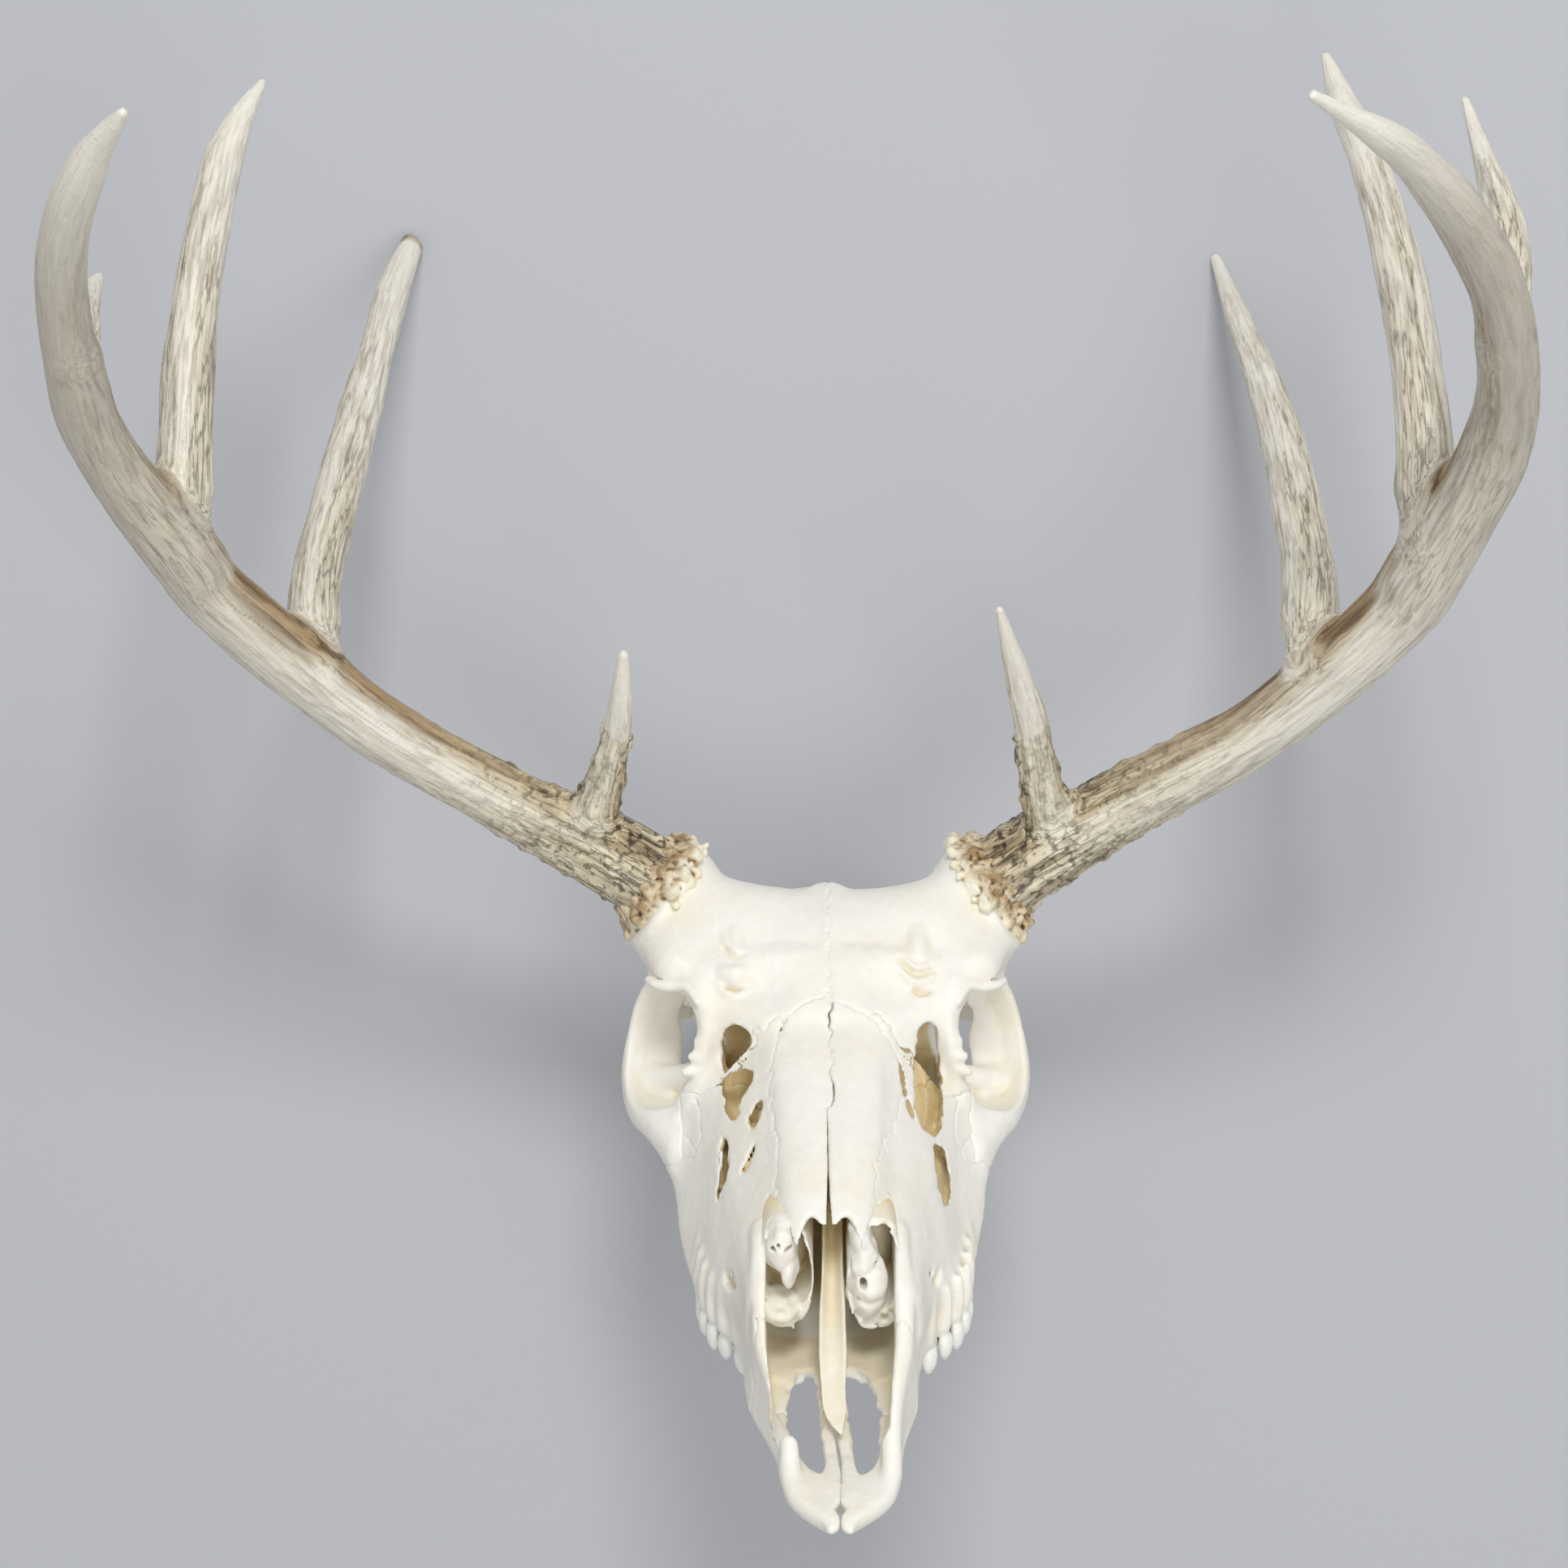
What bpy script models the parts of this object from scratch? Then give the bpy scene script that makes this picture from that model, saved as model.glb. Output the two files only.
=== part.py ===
"""White-tailed deer skull with its antlers, without the lower jaw, lying face up on a level surface.

The skull is modelled in its own frame: x across, y back from the nose tip, z up from the plane that the
cheek teeth bite on. An empty tips that frame back, so that the skull rests on its occiput and on the tips
of the second tines. The antlers are modelled in the resting frame, out from the skull's mid-plane. Left and
right are the animal's own, so its right side is at negative x. Sizes are written in millimetres and turned
to metres by MM.
"""

import math

import bmesh
import bpy
import numpy as np
from mathutils import Matrix, Vector

MM = 0.001
GAP = 0.3 * MM  # clearance between neighbouring pieces

# How the skull lies
PITCH = math.radians(64)  # the tooth plane leans back this far from level
SKULL_LIFT = 238.1 * MM  # height of the nose end of the tooth plane above the surface
MIDLINE_X = 8.35 * MM  # the skull's mid-plane, off the middle of the whole
NOSE_Y = -209.5 * MM
SIDES = {"right": -1, "left": 1}  # which way x runs on each side

# Driving sizes of the skull, mm
ORBIT_CENTRE = (45.5, 163, 56)
ORBIT_RADII = (21, 19)
ORBIT_FACING = (0.9, -0.3, 0.32)
RIM_RADIUS = 3.2
BRAINCASE_CENTRE = (0, 222, 47)
BRAINCASE_RADII = (34, 43, 26)
BRAINCASE_TILT = math.radians(-24)  # its back end lies lower
TOOTH_ROW_START = 75
TOOTH_ROW_END = 152
TOOTH_COUNT = 6
CROWN_HEIGHT = 11
NOSE_LEAN = 1.8  # how far the nose tip lies off the mid-plane
FACE_CUT_Y = 143  # suture of the face with the braincase
VOXEL = 1.9 * MM
SKULL_FACES = 4000

# Driving sizes of the antlers, mm
BURR_CENTRE = (47.8, 166.3, 98)
BURR_AXIS = (0.81, 0.56, 0.17)
BURR_RADIUS = 18.5
BURR_THICKNESS = 8
BURR_LOBES = 9
BURR_ROOM_RADIUS = 28  # of the space cut for the burr from what it meets
BURR_ROOM_DEPTH = 40
PATH_STEP = 13
TUBE_RESOLUTION = 2

# One row for each station of the face: y, then the height of the roof, half-width and height of the
# nasal edge, of the cheek and of the facial crest, and the half-width at the gum
FACE_ROWS = (
    (63, 51, 13, 46, 22, 39, 23, 25, 21),
    (80, 58, 14, 51, 23, 43, 27.5, 25, 27),
    (95, 63, 16, 56, 25, 45, 35, 20, 35),
    (110, 67, 17, 60, 28, 48, 41.5, 15, 39),
    (125, 71, 18, 64, 31, 50, 45, 20, 41),
    (140, 75, 20, 69, 34, 52, 47, 27, 41),
    (152, 79, 24, 74, 37, 58, 49, 34, 37),
    (163, 84, 34, 79, 40, 68, 42, 40, 24),
)
GUM_HEIGHT = 9
PALATE_HEIGHTS = ((63, 8.5), (85, 9.5), (105, 14), (163, 17))  # y, height of the palate's underside
PALATE_INSET = 13  # how far inside the gum's outer edge the palate starts

# Stations of a nasal bone: y, half-width, height of its underside
NASAL_ROWS = ((60, 13, 45.5), (85, 14.5, 52), (110, 17, 58.5), (136, 17.5, 65), (149, 11, 69), (152, 5, 70))

# Stations of the vomer: half-width, y, height of its rim
VOMER_ROWS = ((1.2, 36, 16), (3.2, 45, 19.5), (3.9, 62, 27), (3.2, 80, 34.5), (2.6, 92, 39.5))
VOMER_KEEL = 13.6

# Stations of the nasal cavity: half-width, y, height of its floor and of its roof
CAVITY_ROWS = ((15, 34, 13.5, 70), (17, 60, 12.5, 70), (16.5, 75, 13, 50), (15, 95, 17, 55), (9, 112, 28, 54))

# Outlines in y and z that part the premaxilla from the maxilla, and the box round a turbinate
FRONT_OUTLINE = ((-10, -5), (46, -5), (65, 70), (-10, 70))
FACE_OUTLINE = ((46.3, -5), (FACE_CUT_Y, -5), (FACE_CUT_Y, 100), (66, 100), (65.3, 70))
SCROLL_BOX = ((3.5, 70, 18), (14, 94, 50))
CHEEK_BOX = ((41.5, FACE_CUT_Y + 0.3, 15), (75, 211, 73))

# Stations of the forehead: y, height of the roof, half-width, height of the edge, height of the underside
FOREHEAD_ROWS = (
    (148, 78, 27, 72, 50),
    (165, 86, 45, 78, 60),
    (178, 90.5, 46, 83, 66),
    (190, 91, 40, 83, 62),
    (202, 86, 35, 75, 50),
    (216, 77, 30, 65, 45),
)

# Beams and tines: out from the mid-plane, along, up, radius
BEAMS = {
    "right": (
        (50, 168, 99, 12.5),
        (66, 178, 103, 12),
        (94, 193, 112, 10),
        (130, 215, 131, 9.6),
        (167, 247, 158, 9.9),
        (175, 259, 170, 10),
        (189, 282, 200, 8.6),
        (192, 300, 225, 7.9),
        (188, 325, 258, 6.3),
        (176, 342, 283, 4.9),
        (164, 351, 300, 1.6),
    ),
    "left": (
        (50, 168, 99, 12.5),
        (68, 180, 104, 12),
        (89, 193, 114, 10.6),
        (123, 213, 133, 9.8),
        (154, 241, 154, 10.4),
        (163, 256, 168, 10.8),
        (174, 284, 198, 9.3),
        (172, 302, 224, 7.9),
        (160, 323, 255, 7),
        (134, 342, 291, 5.3),
        (106, 351, 318, 1.6),
    ),
}
FORKS = {"right": ((142, 225), (175, 262)), "left": ((133, 224), (162, 258))}
TINES = {
    "right": {
        "brow": ((70, 181, 104, 8), (62, 205, 124, 5.1), (59, 217, 135, 4), (57, 233, 149, 1.4)),
        "second": (
            (143, 230, 143, 9),
            (146, 254, 128, 7.6),
            (143, 296, 85, 6.8),
            (139, 336, 44, 5.8),
            (137, 357, 22, 5.2),
            (134, 374, 2, 4.1),
        ),
        "third": (
            (175, 262, 174, 9.3),
            (174, 290, 176, 7.6),
            (175, 324, 160, 6.9),
            (173, 364, 138, 6),
            (170, 382, 129, 4.9),
            (163, 400, 118, 1.3),
        ),
        "fourth": ((190, 304, 232, 6.5), (194, 316, 213, 5.2), (196, 326, 194, 3.6), (196, 333, 182, 1.5)),
    },
    "left": {
        "brow": ((66, 181, 105, 8.5), (60, 205, 124, 5.6), (57, 217, 135, 4.8), (47, 245, 160, 1.4)),
        "second": (
            (133, 232, 145, 9.4),
            (138, 254, 128, 8.2),
            (139, 296, 80, 7),
            (137, 320, 54, 5.9),
            (133, 343, 30, 4.5),
            (129, 369, 1, 2),
        ),
        "third": (
            (161, 262, 175, 9.8),
            (161, 295, 172, 7.6),
            (161, 334, 148, 7.1),
            (155, 375, 128, 5.8),
            (150, 392, 118, 4.7),
            (146, 410, 108, 1.3),
        ),
        "fourth": ((168, 308, 233, 6.4), (173, 331, 222, 5.4), (173, 351, 205, 4.4), (170, 380, 183, 1.4)),
    },
}


def clear_scene():
    for obj in list(bpy.data.objects):
        bpy.data.objects.remove(obj)
    for name in ("deer_skull", "cutters"):
        bpy.context.scene.collection.children.link(bpy.data.collections.new(name))
    bpy.data.collections["cutters"].hide_render = True


def make_material(name, colour, roughness):
    material = bpy.data.materials.new(name)
    material.use_nodes = True
    shader = material.node_tree.nodes["Principled BSDF"]
    shader.inputs["Base Color"].default_value = (*colour, 1)
    shader.inputs["Roughness"].default_value = roughness
    material.diffuse_color = (*colour, 1)
    return material


def add_frame(name, location, rotation=(0, 0, 0), parent=None):
    """An empty that carries the pieces modelled in its frame."""
    empty = bpy.data.objects.new(name, None)
    empty.location = location
    empty.rotation_euler = rotation
    empty.parent = parent
    bpy.data.collections["deer_skull"].objects.link(empty)
    return empty


def add_object(name, mesh, frame=None, material=None, local=None):
    """Puts a mesh in the part's collection, or among the cutters where it has no material."""
    obj = bpy.data.objects.new(name, mesh)
    obj.parent = frame
    obj.matrix_basis = local or Matrix.Identity(4)
    if material:
        mesh.materials.clear()
        mesh.materials.append(material)
        bpy.data.collections["deer_skull"].objects.link(obj)
    else:
        obj.hide_render = True
        obj.display_type = "WIRE"
        bpy.data.collections["cutters"].objects.link(obj)
    return obj


def mesh_from(bm, name):
    mesh = bpy.data.meshes.new(name)
    bmesh.ops.recalc_face_normals(bm, faces=bm.faces)
    bm.to_mesh(mesh)
    bm.free()
    return mesh


def evaluated_mesh(obj):
    bpy.context.view_layer.update()
    graph = bpy.context.evaluated_depsgraph_get()
    return bpy.data.meshes.new_from_object(obj.evaluated_get(graph))


def largest_island(mesh):
    """Keeps the one of a mesh's loose bodies that has the most vertices."""
    bm = bmesh.new()
    bm.from_mesh(mesh)
    bmesh.ops.remove_doubles(bm, verts=bm.verts, dist=0.00001)
    left = set(bm.verts)
    islands = []
    while left:
        island = {left.pop()}
        edge_of_search = list(island)
        while edge_of_search:
            vert = edge_of_search.pop()
            for edge in vert.link_edges:
                other = edge.other_vert(vert)
                if other in left:
                    left.discard(other)
                    island.add(other)
                    edge_of_search.append(other)
        islands.append(island)
    islands.sort(key=len, reverse=True)
    for island in islands[1:]:
        bmesh.ops.delete(bm, geom=list(island), context="VERTS")
    return mesh_from(bm, mesh.name)


def ball(centre, radii, turn=None):
    """An ellipsoid, as a function that adds itself to a bmesh."""
    scale = Matrix.Diagonal((*(radius * MM for radius in radii), 1))
    matrix = Matrix.Translation(Vector(centre) * MM) @ (turn or Matrix.Identity(4)) @ scale

    def add(bm):
        bmesh.ops.create_icosphere(bm, subdivisions=3, radius=1, matrix=matrix)

    return add


def rings_shape(rings):
    """A closed loft through rings of equal point counts, capped at both ends."""

    def add(bm):
        rows = [[bm.verts.new(Vector(point) * MM) for point in ring] for ring in rings]
        count = len(rows[0])
        for row, following in zip(rows, rows[1:]):
            for index in range(count):
                after = (index + 1) % count
                bm.faces.new((row[index], row[after], following[after], following[index]))
        bm.faces.new(rows[0])
        bm.faces.new(rows[-1])

    return add


def rod(points, radii, sides=12, flatten=1.0, flat_axis=(1, 0, 0)):
    """A tapering bar through the points, squeezed by flatten along flat_axis."""
    points = [Vector(point) for point in points]
    squeeze = Vector(flat_axis).normalized()
    rings = []
    for index, (point, radius) in enumerate(zip(points, radii)):
        before = points[max(index - 1, 0)]
        after = points[min(index + 1, len(points) - 1)]
        turn = (after - before).to_track_quat("Z", "Y")
        ring = []
        for side in range(sides):
            angle = math.tau * side / sides
            offset = turn @ Vector((math.cos(angle), math.sin(angle), 0)) * radius
            offset -= squeeze * offset.dot(squeeze) * (1 - flatten)
            ring.append(point + offset)
        rings.append(ring)
    return rings_shape(rings)


def both_sides(shape_for, *values):
    """The same shape on the left, x below 0, and on the right."""
    return [shape_for(side, *values) for side in (-1, 1)]


def shapes_mesh(shapes, name):
    """All the shapes in one mesh, each still a closed body of its own."""
    whole = bmesh.new()
    for add in shapes:
        piece = bmesh.new()
        add(piece)
        bmesh.ops.recalc_face_normals(piece, faces=piece.faces)
        piece_mesh = mesh_from(piece, "piece")
        whole.from_mesh(piece_mesh)
        bpy.data.meshes.remove(piece_mesh)
    mesh = bpy.data.meshes.new(name)
    whole.to_mesh(mesh)
    whole.free()
    return mesh


def fused(shapes, name, voxel, smoothing):
    """One skin round all the shapes."""
    obj = add_object(name, shapes_mesh(shapes, name))
    remesh = obj.modifiers.new("skin", "REMESH")
    remesh.mode = "VOXEL"
    remesh.voxel_size = voxel
    smooth = obj.modifiers.new("smooth", "SMOOTH")
    smooth.factor = 0.5
    smooth.iterations = smoothing
    mesh = evaluated_mesh(obj)
    bpy.data.objects.remove(obj)
    return mesh


def boolean(obj, other, operation="DIFFERENCE"):
    modifier = obj.modifiers.new(other.name, "BOOLEAN")
    modifier.operation = operation
    modifier.solver = "EXACT"
    modifier.object = other


# ---- skull ----


def face_shape():
    """The face: nasal roof, cheeks, facial crest and gum, lofted from the nasal opening to the orbits."""
    rings = []
    for y, roof, nasal_x, nasal_z, cheek_x, cheek_z, crest_x, crest_z, gum_x in FACE_ROWS:
        palate = float(np.interp(y, *zip(*PALATE_HEIGHTS)))
        half = [
            (0, roof),
            (nasal_x * 0.6, roof - 1.2),
            (nasal_x, nasal_z),
            (cheek_x, cheek_z),
            ((cheek_x + crest_x) / 2 + 1, (cheek_z + crest_z) / 2),
            (crest_x, crest_z),
            (gum_x, GUM_HEIGHT),
            (gum_x - 11, GUM_HEIGHT),
            (gum_x - PALATE_INSET, palate - 0.5),
            (0, palate),
        ]
        mirrored = [(-x, z) for x, z in half[-2:0:-1]]
        rings.append([(x, y, z) for x, z in half + mirrored])
    return rings_shape(rings)


def forehead_shape():
    """The frontal bones from the nasion back over the crest, with the brows out over the orbits."""
    rings = []
    for y, roof, half_width, edge, under in FOREHEAD_ROWS:
        half = [
            (0, roof),
            (half_width * 0.55, roof - 1.5),
            (half_width, edge),
            (half_width - 2, edge - 5),
            (half_width * 0.5, under + 6),
            (0, under),
        ]
        mirrored = [(-x, z) for x, z in half[-2:0:-1]]
        rings.append([(x, y, z) for x, z in half + mirrored])
    return rings_shape(rings)


def orbit_rim(side):
    """The ring of bone round the eye, facing out and a little forward."""
    facing = Vector((ORBIT_FACING[0] * side, *ORBIT_FACING[1:])).normalized()
    centre = Vector((ORBIT_CENTRE[0] * side, *ORBIT_CENTRE[1:]))
    up = (Vector((0, 0, 1)) - facing * facing.z).normalized()
    along = up.cross(facing)
    segments = 28
    sides = 10

    def add(bm):
        rows = []
        for index in range(segments):
            angle = math.tau * index / segments
            spoke = up * math.cos(angle) * ORBIT_RADII[0] + along * math.sin(angle) * ORBIT_RADII[1]
            out = spoke.normalized()
            row = []
            for turn in range(sides):
                around = math.tau * turn / sides
                offset = out * math.cos(around) + facing * math.sin(around) * 1.3
                row.append(bm.verts.new((centre + spoke + offset * RIM_RADIUS) * MM))
            rows.append(row)
        for index, row in enumerate(rows):
            following = rows[(index + 1) % segments]
            for turn in range(sides):
                after = (turn + 1) % sides
                bm.faces.new((row[turn], row[after], following[after], following[turn]))

    return add


def cheek_arch(side):
    """The arch from below the orbit back to the braincase."""
    points = [(44, 148, 31), (53.5, 163, 35), (55, 175, 40), (53.5, 190, 43), (47, 208, 43), (34, 220, 40)]
    radii = (7.5, 6.5, 7.5, 7, 6.5, 7)
    return rod([(x * side, y, z) for x, y, z in points], radii, flatten=0.55)


def pedicle(side):
    """The bony stump that carries the antler."""
    centre = resting_to_skull(BURR_CENTRE, side)
    tip = resting_to_skull([c + a * 6 for c, a in zip(BURR_CENTRE, BURR_AXIS)], side)
    root = (26 * side, 187, 76)
    middle = tuple((r * 0.45 + c * 0.55) for r, c in zip(root, centre))
    return rod((root, middle, centre, tip), (16, 14, 15, 16), sides=16)


def resting_to_skull(point, side):
    """A point of the resting frame, out from the mid-plane, in the skull's own frame."""
    out, along, up = point
    drop = up - SKULL_LIFT / MM
    y = along * math.cos(PITCH) - drop * math.sin(PITCH)
    z = along * math.sin(PITCH) + drop * math.cos(PITCH)
    return (out * side, y, z)


def tooth_centre(share):
    """Where along the curved tooth row, from 0 at the front to 1, a crown stands."""
    y = TOOTH_ROW_START + share * (TOOTH_ROW_END - TOOTH_ROW_START)
    x = 21 + 13.5 * math.sin(min(share * 2, 1) * math.pi / 2)
    return x, y


def tooth(side, index):
    """A cheek tooth as one blunt two-cusped crown."""
    x, y = tooth_centre((index + 0.5) / TOOTH_COUNT)
    length = 5.2 + 1.4 * index / TOOTH_COUNT
    return ball((x * side, y, CROWN_HEIGHT), (4.8, length, CROWN_HEIGHT - 0.5 - 0.2 * index))


def lean(points):
    """The nose end bends a little to the right, as it does on the real skull."""
    return [(x + NOSE_LEAN * max(0, 1 - (y / 60) ** 2), y, z) for x, y, z in points]


def front_bar(side):
    """The premaxilla's outer bar, from the nose tip up to the nasal."""
    rows = (
        (4.5, 3, 11, 4),
        (8.5, 9, 11, 4.8),
        (12, 20, 12, 4.6),
        (15.5, 32, 16, 5),
        (19, 44, 22, 6.5),
        (20, 54, 28, 7.5),
        (20, 68, 36, 9),
    )
    points = lean([(x * side, y, z) for x, y, z, radius in rows])
    return rod(points, [row[-1] for row in rows], flatten=0.5, flat_axis=(side, 0, 0.2))


def inner_bar(side):
    """The premaxilla's inner bar, beside the midline under the vomer."""
    points = [(3.8, 4, 10.5), (2.6, 20, 10.5), (2.6, 45, 10.5), (2.6, 68, 10.5)]
    return rod(lean([(x * side, y, z) for x, y, z in points]), (4, 2.8, 2.3, 3), flatten=0.9)


def occiput_shapes():
    """Braincase, nuchal crest, condyles, ear bones and the base of the skull."""
    shapes = [
        ball(BRAINCASE_CENTRE, BRAINCASE_RADII, Matrix.Rotation(BRAINCASE_TILT, 4, "X")),
        ball((0, 249, 36), (30, 15, 21)),
        rod(((-28, 250, 36), (-20, 259, 46), (0, 262, 50), (20, 259, 46), (28, 250, 36)), (3, 4, 4.5, 4, 3)),
        rod(((0, 266, 17), (0, 240, 21), (0, 205, 27), (0, 170, 38)), (8, 9, 8, 8), 12, 0.7, (0, 0, 1)),
        rod(((0, 140, 50), (0, 170, 56), (0, 205, 56)), (16, 15, 20)),
    ]
    shapes += both_sides(lambda side: ball((13 * side, 267.6, 25), (9, 9, 12)))
    shapes += both_sides(lambda side: ball((18 * side, 235, 20), (8, 12, 9)))
    shapes += both_sides(lambda side: ball((30 * side, 237, 33), (9, 12, 12)))
    shapes += both_sides(
        lambda side: rod(
            ((25 * side, 248, 32), (25 * side, 257, 18), (25 * side, 263.4, 4)), (8, 6, 3.6), flatten=0.7
        )
    )
    shapes += both_sides(
        lambda side: rod(
            ((13 * side, 148, 22), (13 * side, 168, 24), (12 * side, 190, 30)),
            (11, 10, 7),
            flatten=0.35,
        )
    )
    return shapes


def skull_blank():
    """Every solid bone of the skull in one skin, before the hollows are cut."""
    shapes = [face_shape(), forehead_shape()]
    shapes += occiput_shapes()
    shapes += both_sides(orbit_rim)
    shapes += both_sides(cheek_arch)
    shapes += both_sides(pedicle)
    shapes += both_sides(front_bar)
    shapes += both_sides(inner_bar)
    for index in range(TOOTH_COUNT):
        shapes += both_sides(tooth, index)
    return fused(shapes, "skull_blank", VOXEL, 3)


def hollow_shapes():
    """The nasal cavity, orbits, temporal pits, palate slits, brain opening and small holes."""
    rings = []
    for half, y, floor, roof in CAVITY_ROWS:
        rings.append([(-half, y, floor), (half, y, floor), (half * 0.8, y, roof), (-half * 0.8, y, roof)])
    shapes = [rings_shape(rings)]
    shapes += [ball((0, 262, 33), (9.5, 26, 9))]
    shapes += both_sides(lambda side: ball((43 * side, 164.5, 56), (21, 17, 19)))
    shapes += both_sides(lambda side: ball((41.5 * side, 198, 52), (8, 14, 19)))
    shapes += both_sides(lambda side: ball((9.5 * side + 0.5, 45, 10), (4.5, 20, 9)))
    shapes += both_sides(lambda side: ball((26 * side, 127, 60), (3.5, 13, 8)))
    shapes += both_sides(lambda side: ball((29 * side, 82, 32), (4, 4, 4)))
    return shapes


def turbinate_lump(side):
    """The scrolled bone inside the nasal opening, as a plain lump on the side wall."""
    points = [(12, 79, 33), (11, 86, 35), (11, 96, 39)]
    return rod([(x * side, y, z) for x, y, z in points], (6, 7.5, 6), flatten=0.85)


def cutter_box(name, low, high, frame):
    """A box between two corners given in millimetres."""
    bm = bmesh.new()
    centre = (Vector(low) + Vector(high)) / 2 * MM
    size = (Vector(high) - Vector(low)) * MM
    bmesh.ops.create_cube(bm, size=1, matrix=Matrix.Translation(centre) @ Matrix.Diagonal((*size, 1)))
    return add_object(name, mesh_from(bm, name), frame)


def side_box(name, side, box, extra, frame):
    """A box whose x corners are measured out from the midline, grown by extra all round."""
    low, high = box
    inner, outer = sorted((side * (low[0] - extra), side * (high[0] + extra)))
    low = (inner, low[1] - extra, low[2] - extra)
    high = (outer, high[1] + extra, high[2] + extra)
    return cutter_box(name, low, high, frame)


def side_region(name, side, outline, frame):
    """A prism from the midline out past one side of the skull, its outline given in y and z."""
    reach = (side * GAP / MM / 2, side * 75)
    rings = [[(x, y, z) for y, z in outline] for x in reach]
    return add_object(name, shapes_mesh([rings_shape(rings)], name), frame)


def nasal_region(name, side, extra, frame):
    """The room of one nasal bone seen from above, tapering to both ends and open upward."""
    rings = []
    ends = (NASAL_ROWS[0][0], NASAL_ROWS[-1][0])
    for y, half_width, under in NASAL_ROWS:
        y += -extra if y == ends[0] else extra if y == ends[1] else 0
        inner = GAP / MM / 2 if extra == 0 else -1
        low, high = under - 1.1 * extra, 100
        wide = half_width + 1.1 * extra
        rings.append([(x * side, y, z) for x, z in ((inner, low), (wide, low), (wide, high), (inner, high))])
    return add_object(name, shapes_mesh([rings_shape(rings)], name), frame)


def whole_skull():
    """The skull as one skin with its hollows cut, thinned to a workable number of faces."""
    blank = add_object("skull_whole", skull_blank())
    boolean(blank, add_object("hollows", fused(hollow_shapes(), "hollows", VOXEL, 2)))
    for side in (-1, 1):
        lump = shapes_mesh([turbinate_lump(side)], "lump")
        boolean(blank, add_object(f"turbinate_lump_{side}", lump), "UNION")
    remesh = blank.modifiers.new("even", "REMESH")
    remesh.mode = "VOXEL"
    remesh.voxel_size = VOXEL
    thin = blank.modifiers.new("thin", "DECIMATE")
    thin.ratio = 0.2
    mesh = evaluated_mesh(blank)
    thin.ratio = min(1, thin.ratio * SKULL_FACES / len(mesh.polygons))
    whole = largest_island(evaluated_mesh(blank))
    bpy.data.objects.remove(blank)
    return whole


def skull_pieces(frame, bone, cranium_rooms):
    """Parts the skull along its main sutures."""
    whole = whole_skull()
    margin = GAP / MM
    pieces = {}

    def region(name, keep, remove=()):
        obj = add_object(name, whole.copy(), frame, bone)
        boolean(obj, keep, "INTERSECT")
        for cutter in remove:
            boolean(obj, cutter)
        pieces[name] = obj

    back_rooms = list(cranium_rooms)
    for word, side in SIDES.items():
        nasal = nasal_region("region_nasal_" + word, side, 0, frame)
        nasal_room = nasal_region("room_nasal_" + word, side, margin, frame)
        front = side_region("region_front_" + word, side, FRONT_OUTLINE, frame)
        face = side_region("region_face_" + word, side, FACE_OUTLINE, frame)
        scroll = side_box("region_scroll_" + word, side, SCROLL_BOX, 0, frame)
        scroll_room = side_box("room_scroll_" + word, side, SCROLL_BOX, margin, frame)
        cheek = side_box("region_cheek_" + word, side, CHEEK_BOX, 0, frame)
        cheek_room = side_box("room_cheek_" + word, side, CHEEK_BOX, margin, frame)
        region("nasal_" + word, nasal)
        region("premaxilla_" + word, front, [nasal_room])
        region("turbinate_" + word, scroll, [nasal_room])
        region("maxilla_" + word, face, [nasal_room, scroll_room])
        region("zygomatic_" + word, cheek)
        back_rooms += [nasal_room, cheek_room]
    back = cutter_box("region_back", (-90, FACE_CUT_Y + margin, -5), (90, 300, 130), frame)
    region("cranium", back, back_rooms)
    return pieces


def settle(pieces, frame, material):
    """Makes each cut piece a plain mesh of one body."""
    for name, obj in pieces.items():
        mesh = largest_island(evaluated_mesh(obj))
        mesh.name = name
        bpy.data.objects.remove(obj)
        add_object(name, mesh, frame, material)


def make_vomer(frame, bone):
    """The long trough-shaped strip on the midline of the nasal opening, its keel clear of the bars below."""
    rings = []
    for half, y, top in VOMER_ROWS:
        keel = max(top - 6, VOMER_KEEL)
        side = (keel + top) / 2 - 0.2
        rings.append([(0, y, top - 1), (half, y, top), (half * 0.6, y, side), (0.9, y, keel)])
        rings[-1] += [(-0.9, y, keel), (-half * 0.6, y, side), (-half, y, top)]
    return add_object("vomer", shapes_mesh([rings_shape(rings)], "vomer"), frame, bone)


# ---- antlers ----


def smooth_path(rows, step):
    """Points about a step apart on the Catmull-Rom curve through the rows, with their radii."""
    rows = np.array(rows, float)
    padded = np.vstack([2 * rows[0] - rows[1], rows, 2 * rows[-1] - rows[-2]])
    fine = []
    for p0, p1, p2, p3 in zip(padded, padded[1:], padded[2:], padded[3:]):
        t = np.linspace(0, 1, 24, endpoint=False)[:, None]
        cubic = (-p0 + 3 * p1 - 3 * p2 + p3) * t**3
        square = (2 * p0 - 5 * p1 + 4 * p2 - p3) * t**2
        fine.append((2 * p1 + (p2 - p0) * t + square + cubic) / 2)
    fine = np.vstack([*fine, rows[-1:]])
    lengths = np.linalg.norm(np.diff(fine[:, :3], axis=0), axis=1)
    along = np.concatenate([[0], np.cumsum(lengths)])
    count = max(3, round(along[-1] / step) + 1)
    wanted = np.linspace(0, along[-1], count)
    return np.stack([np.interp(wanted, along, fine[:, axis]) for axis in range(4)], axis=1)


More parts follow.
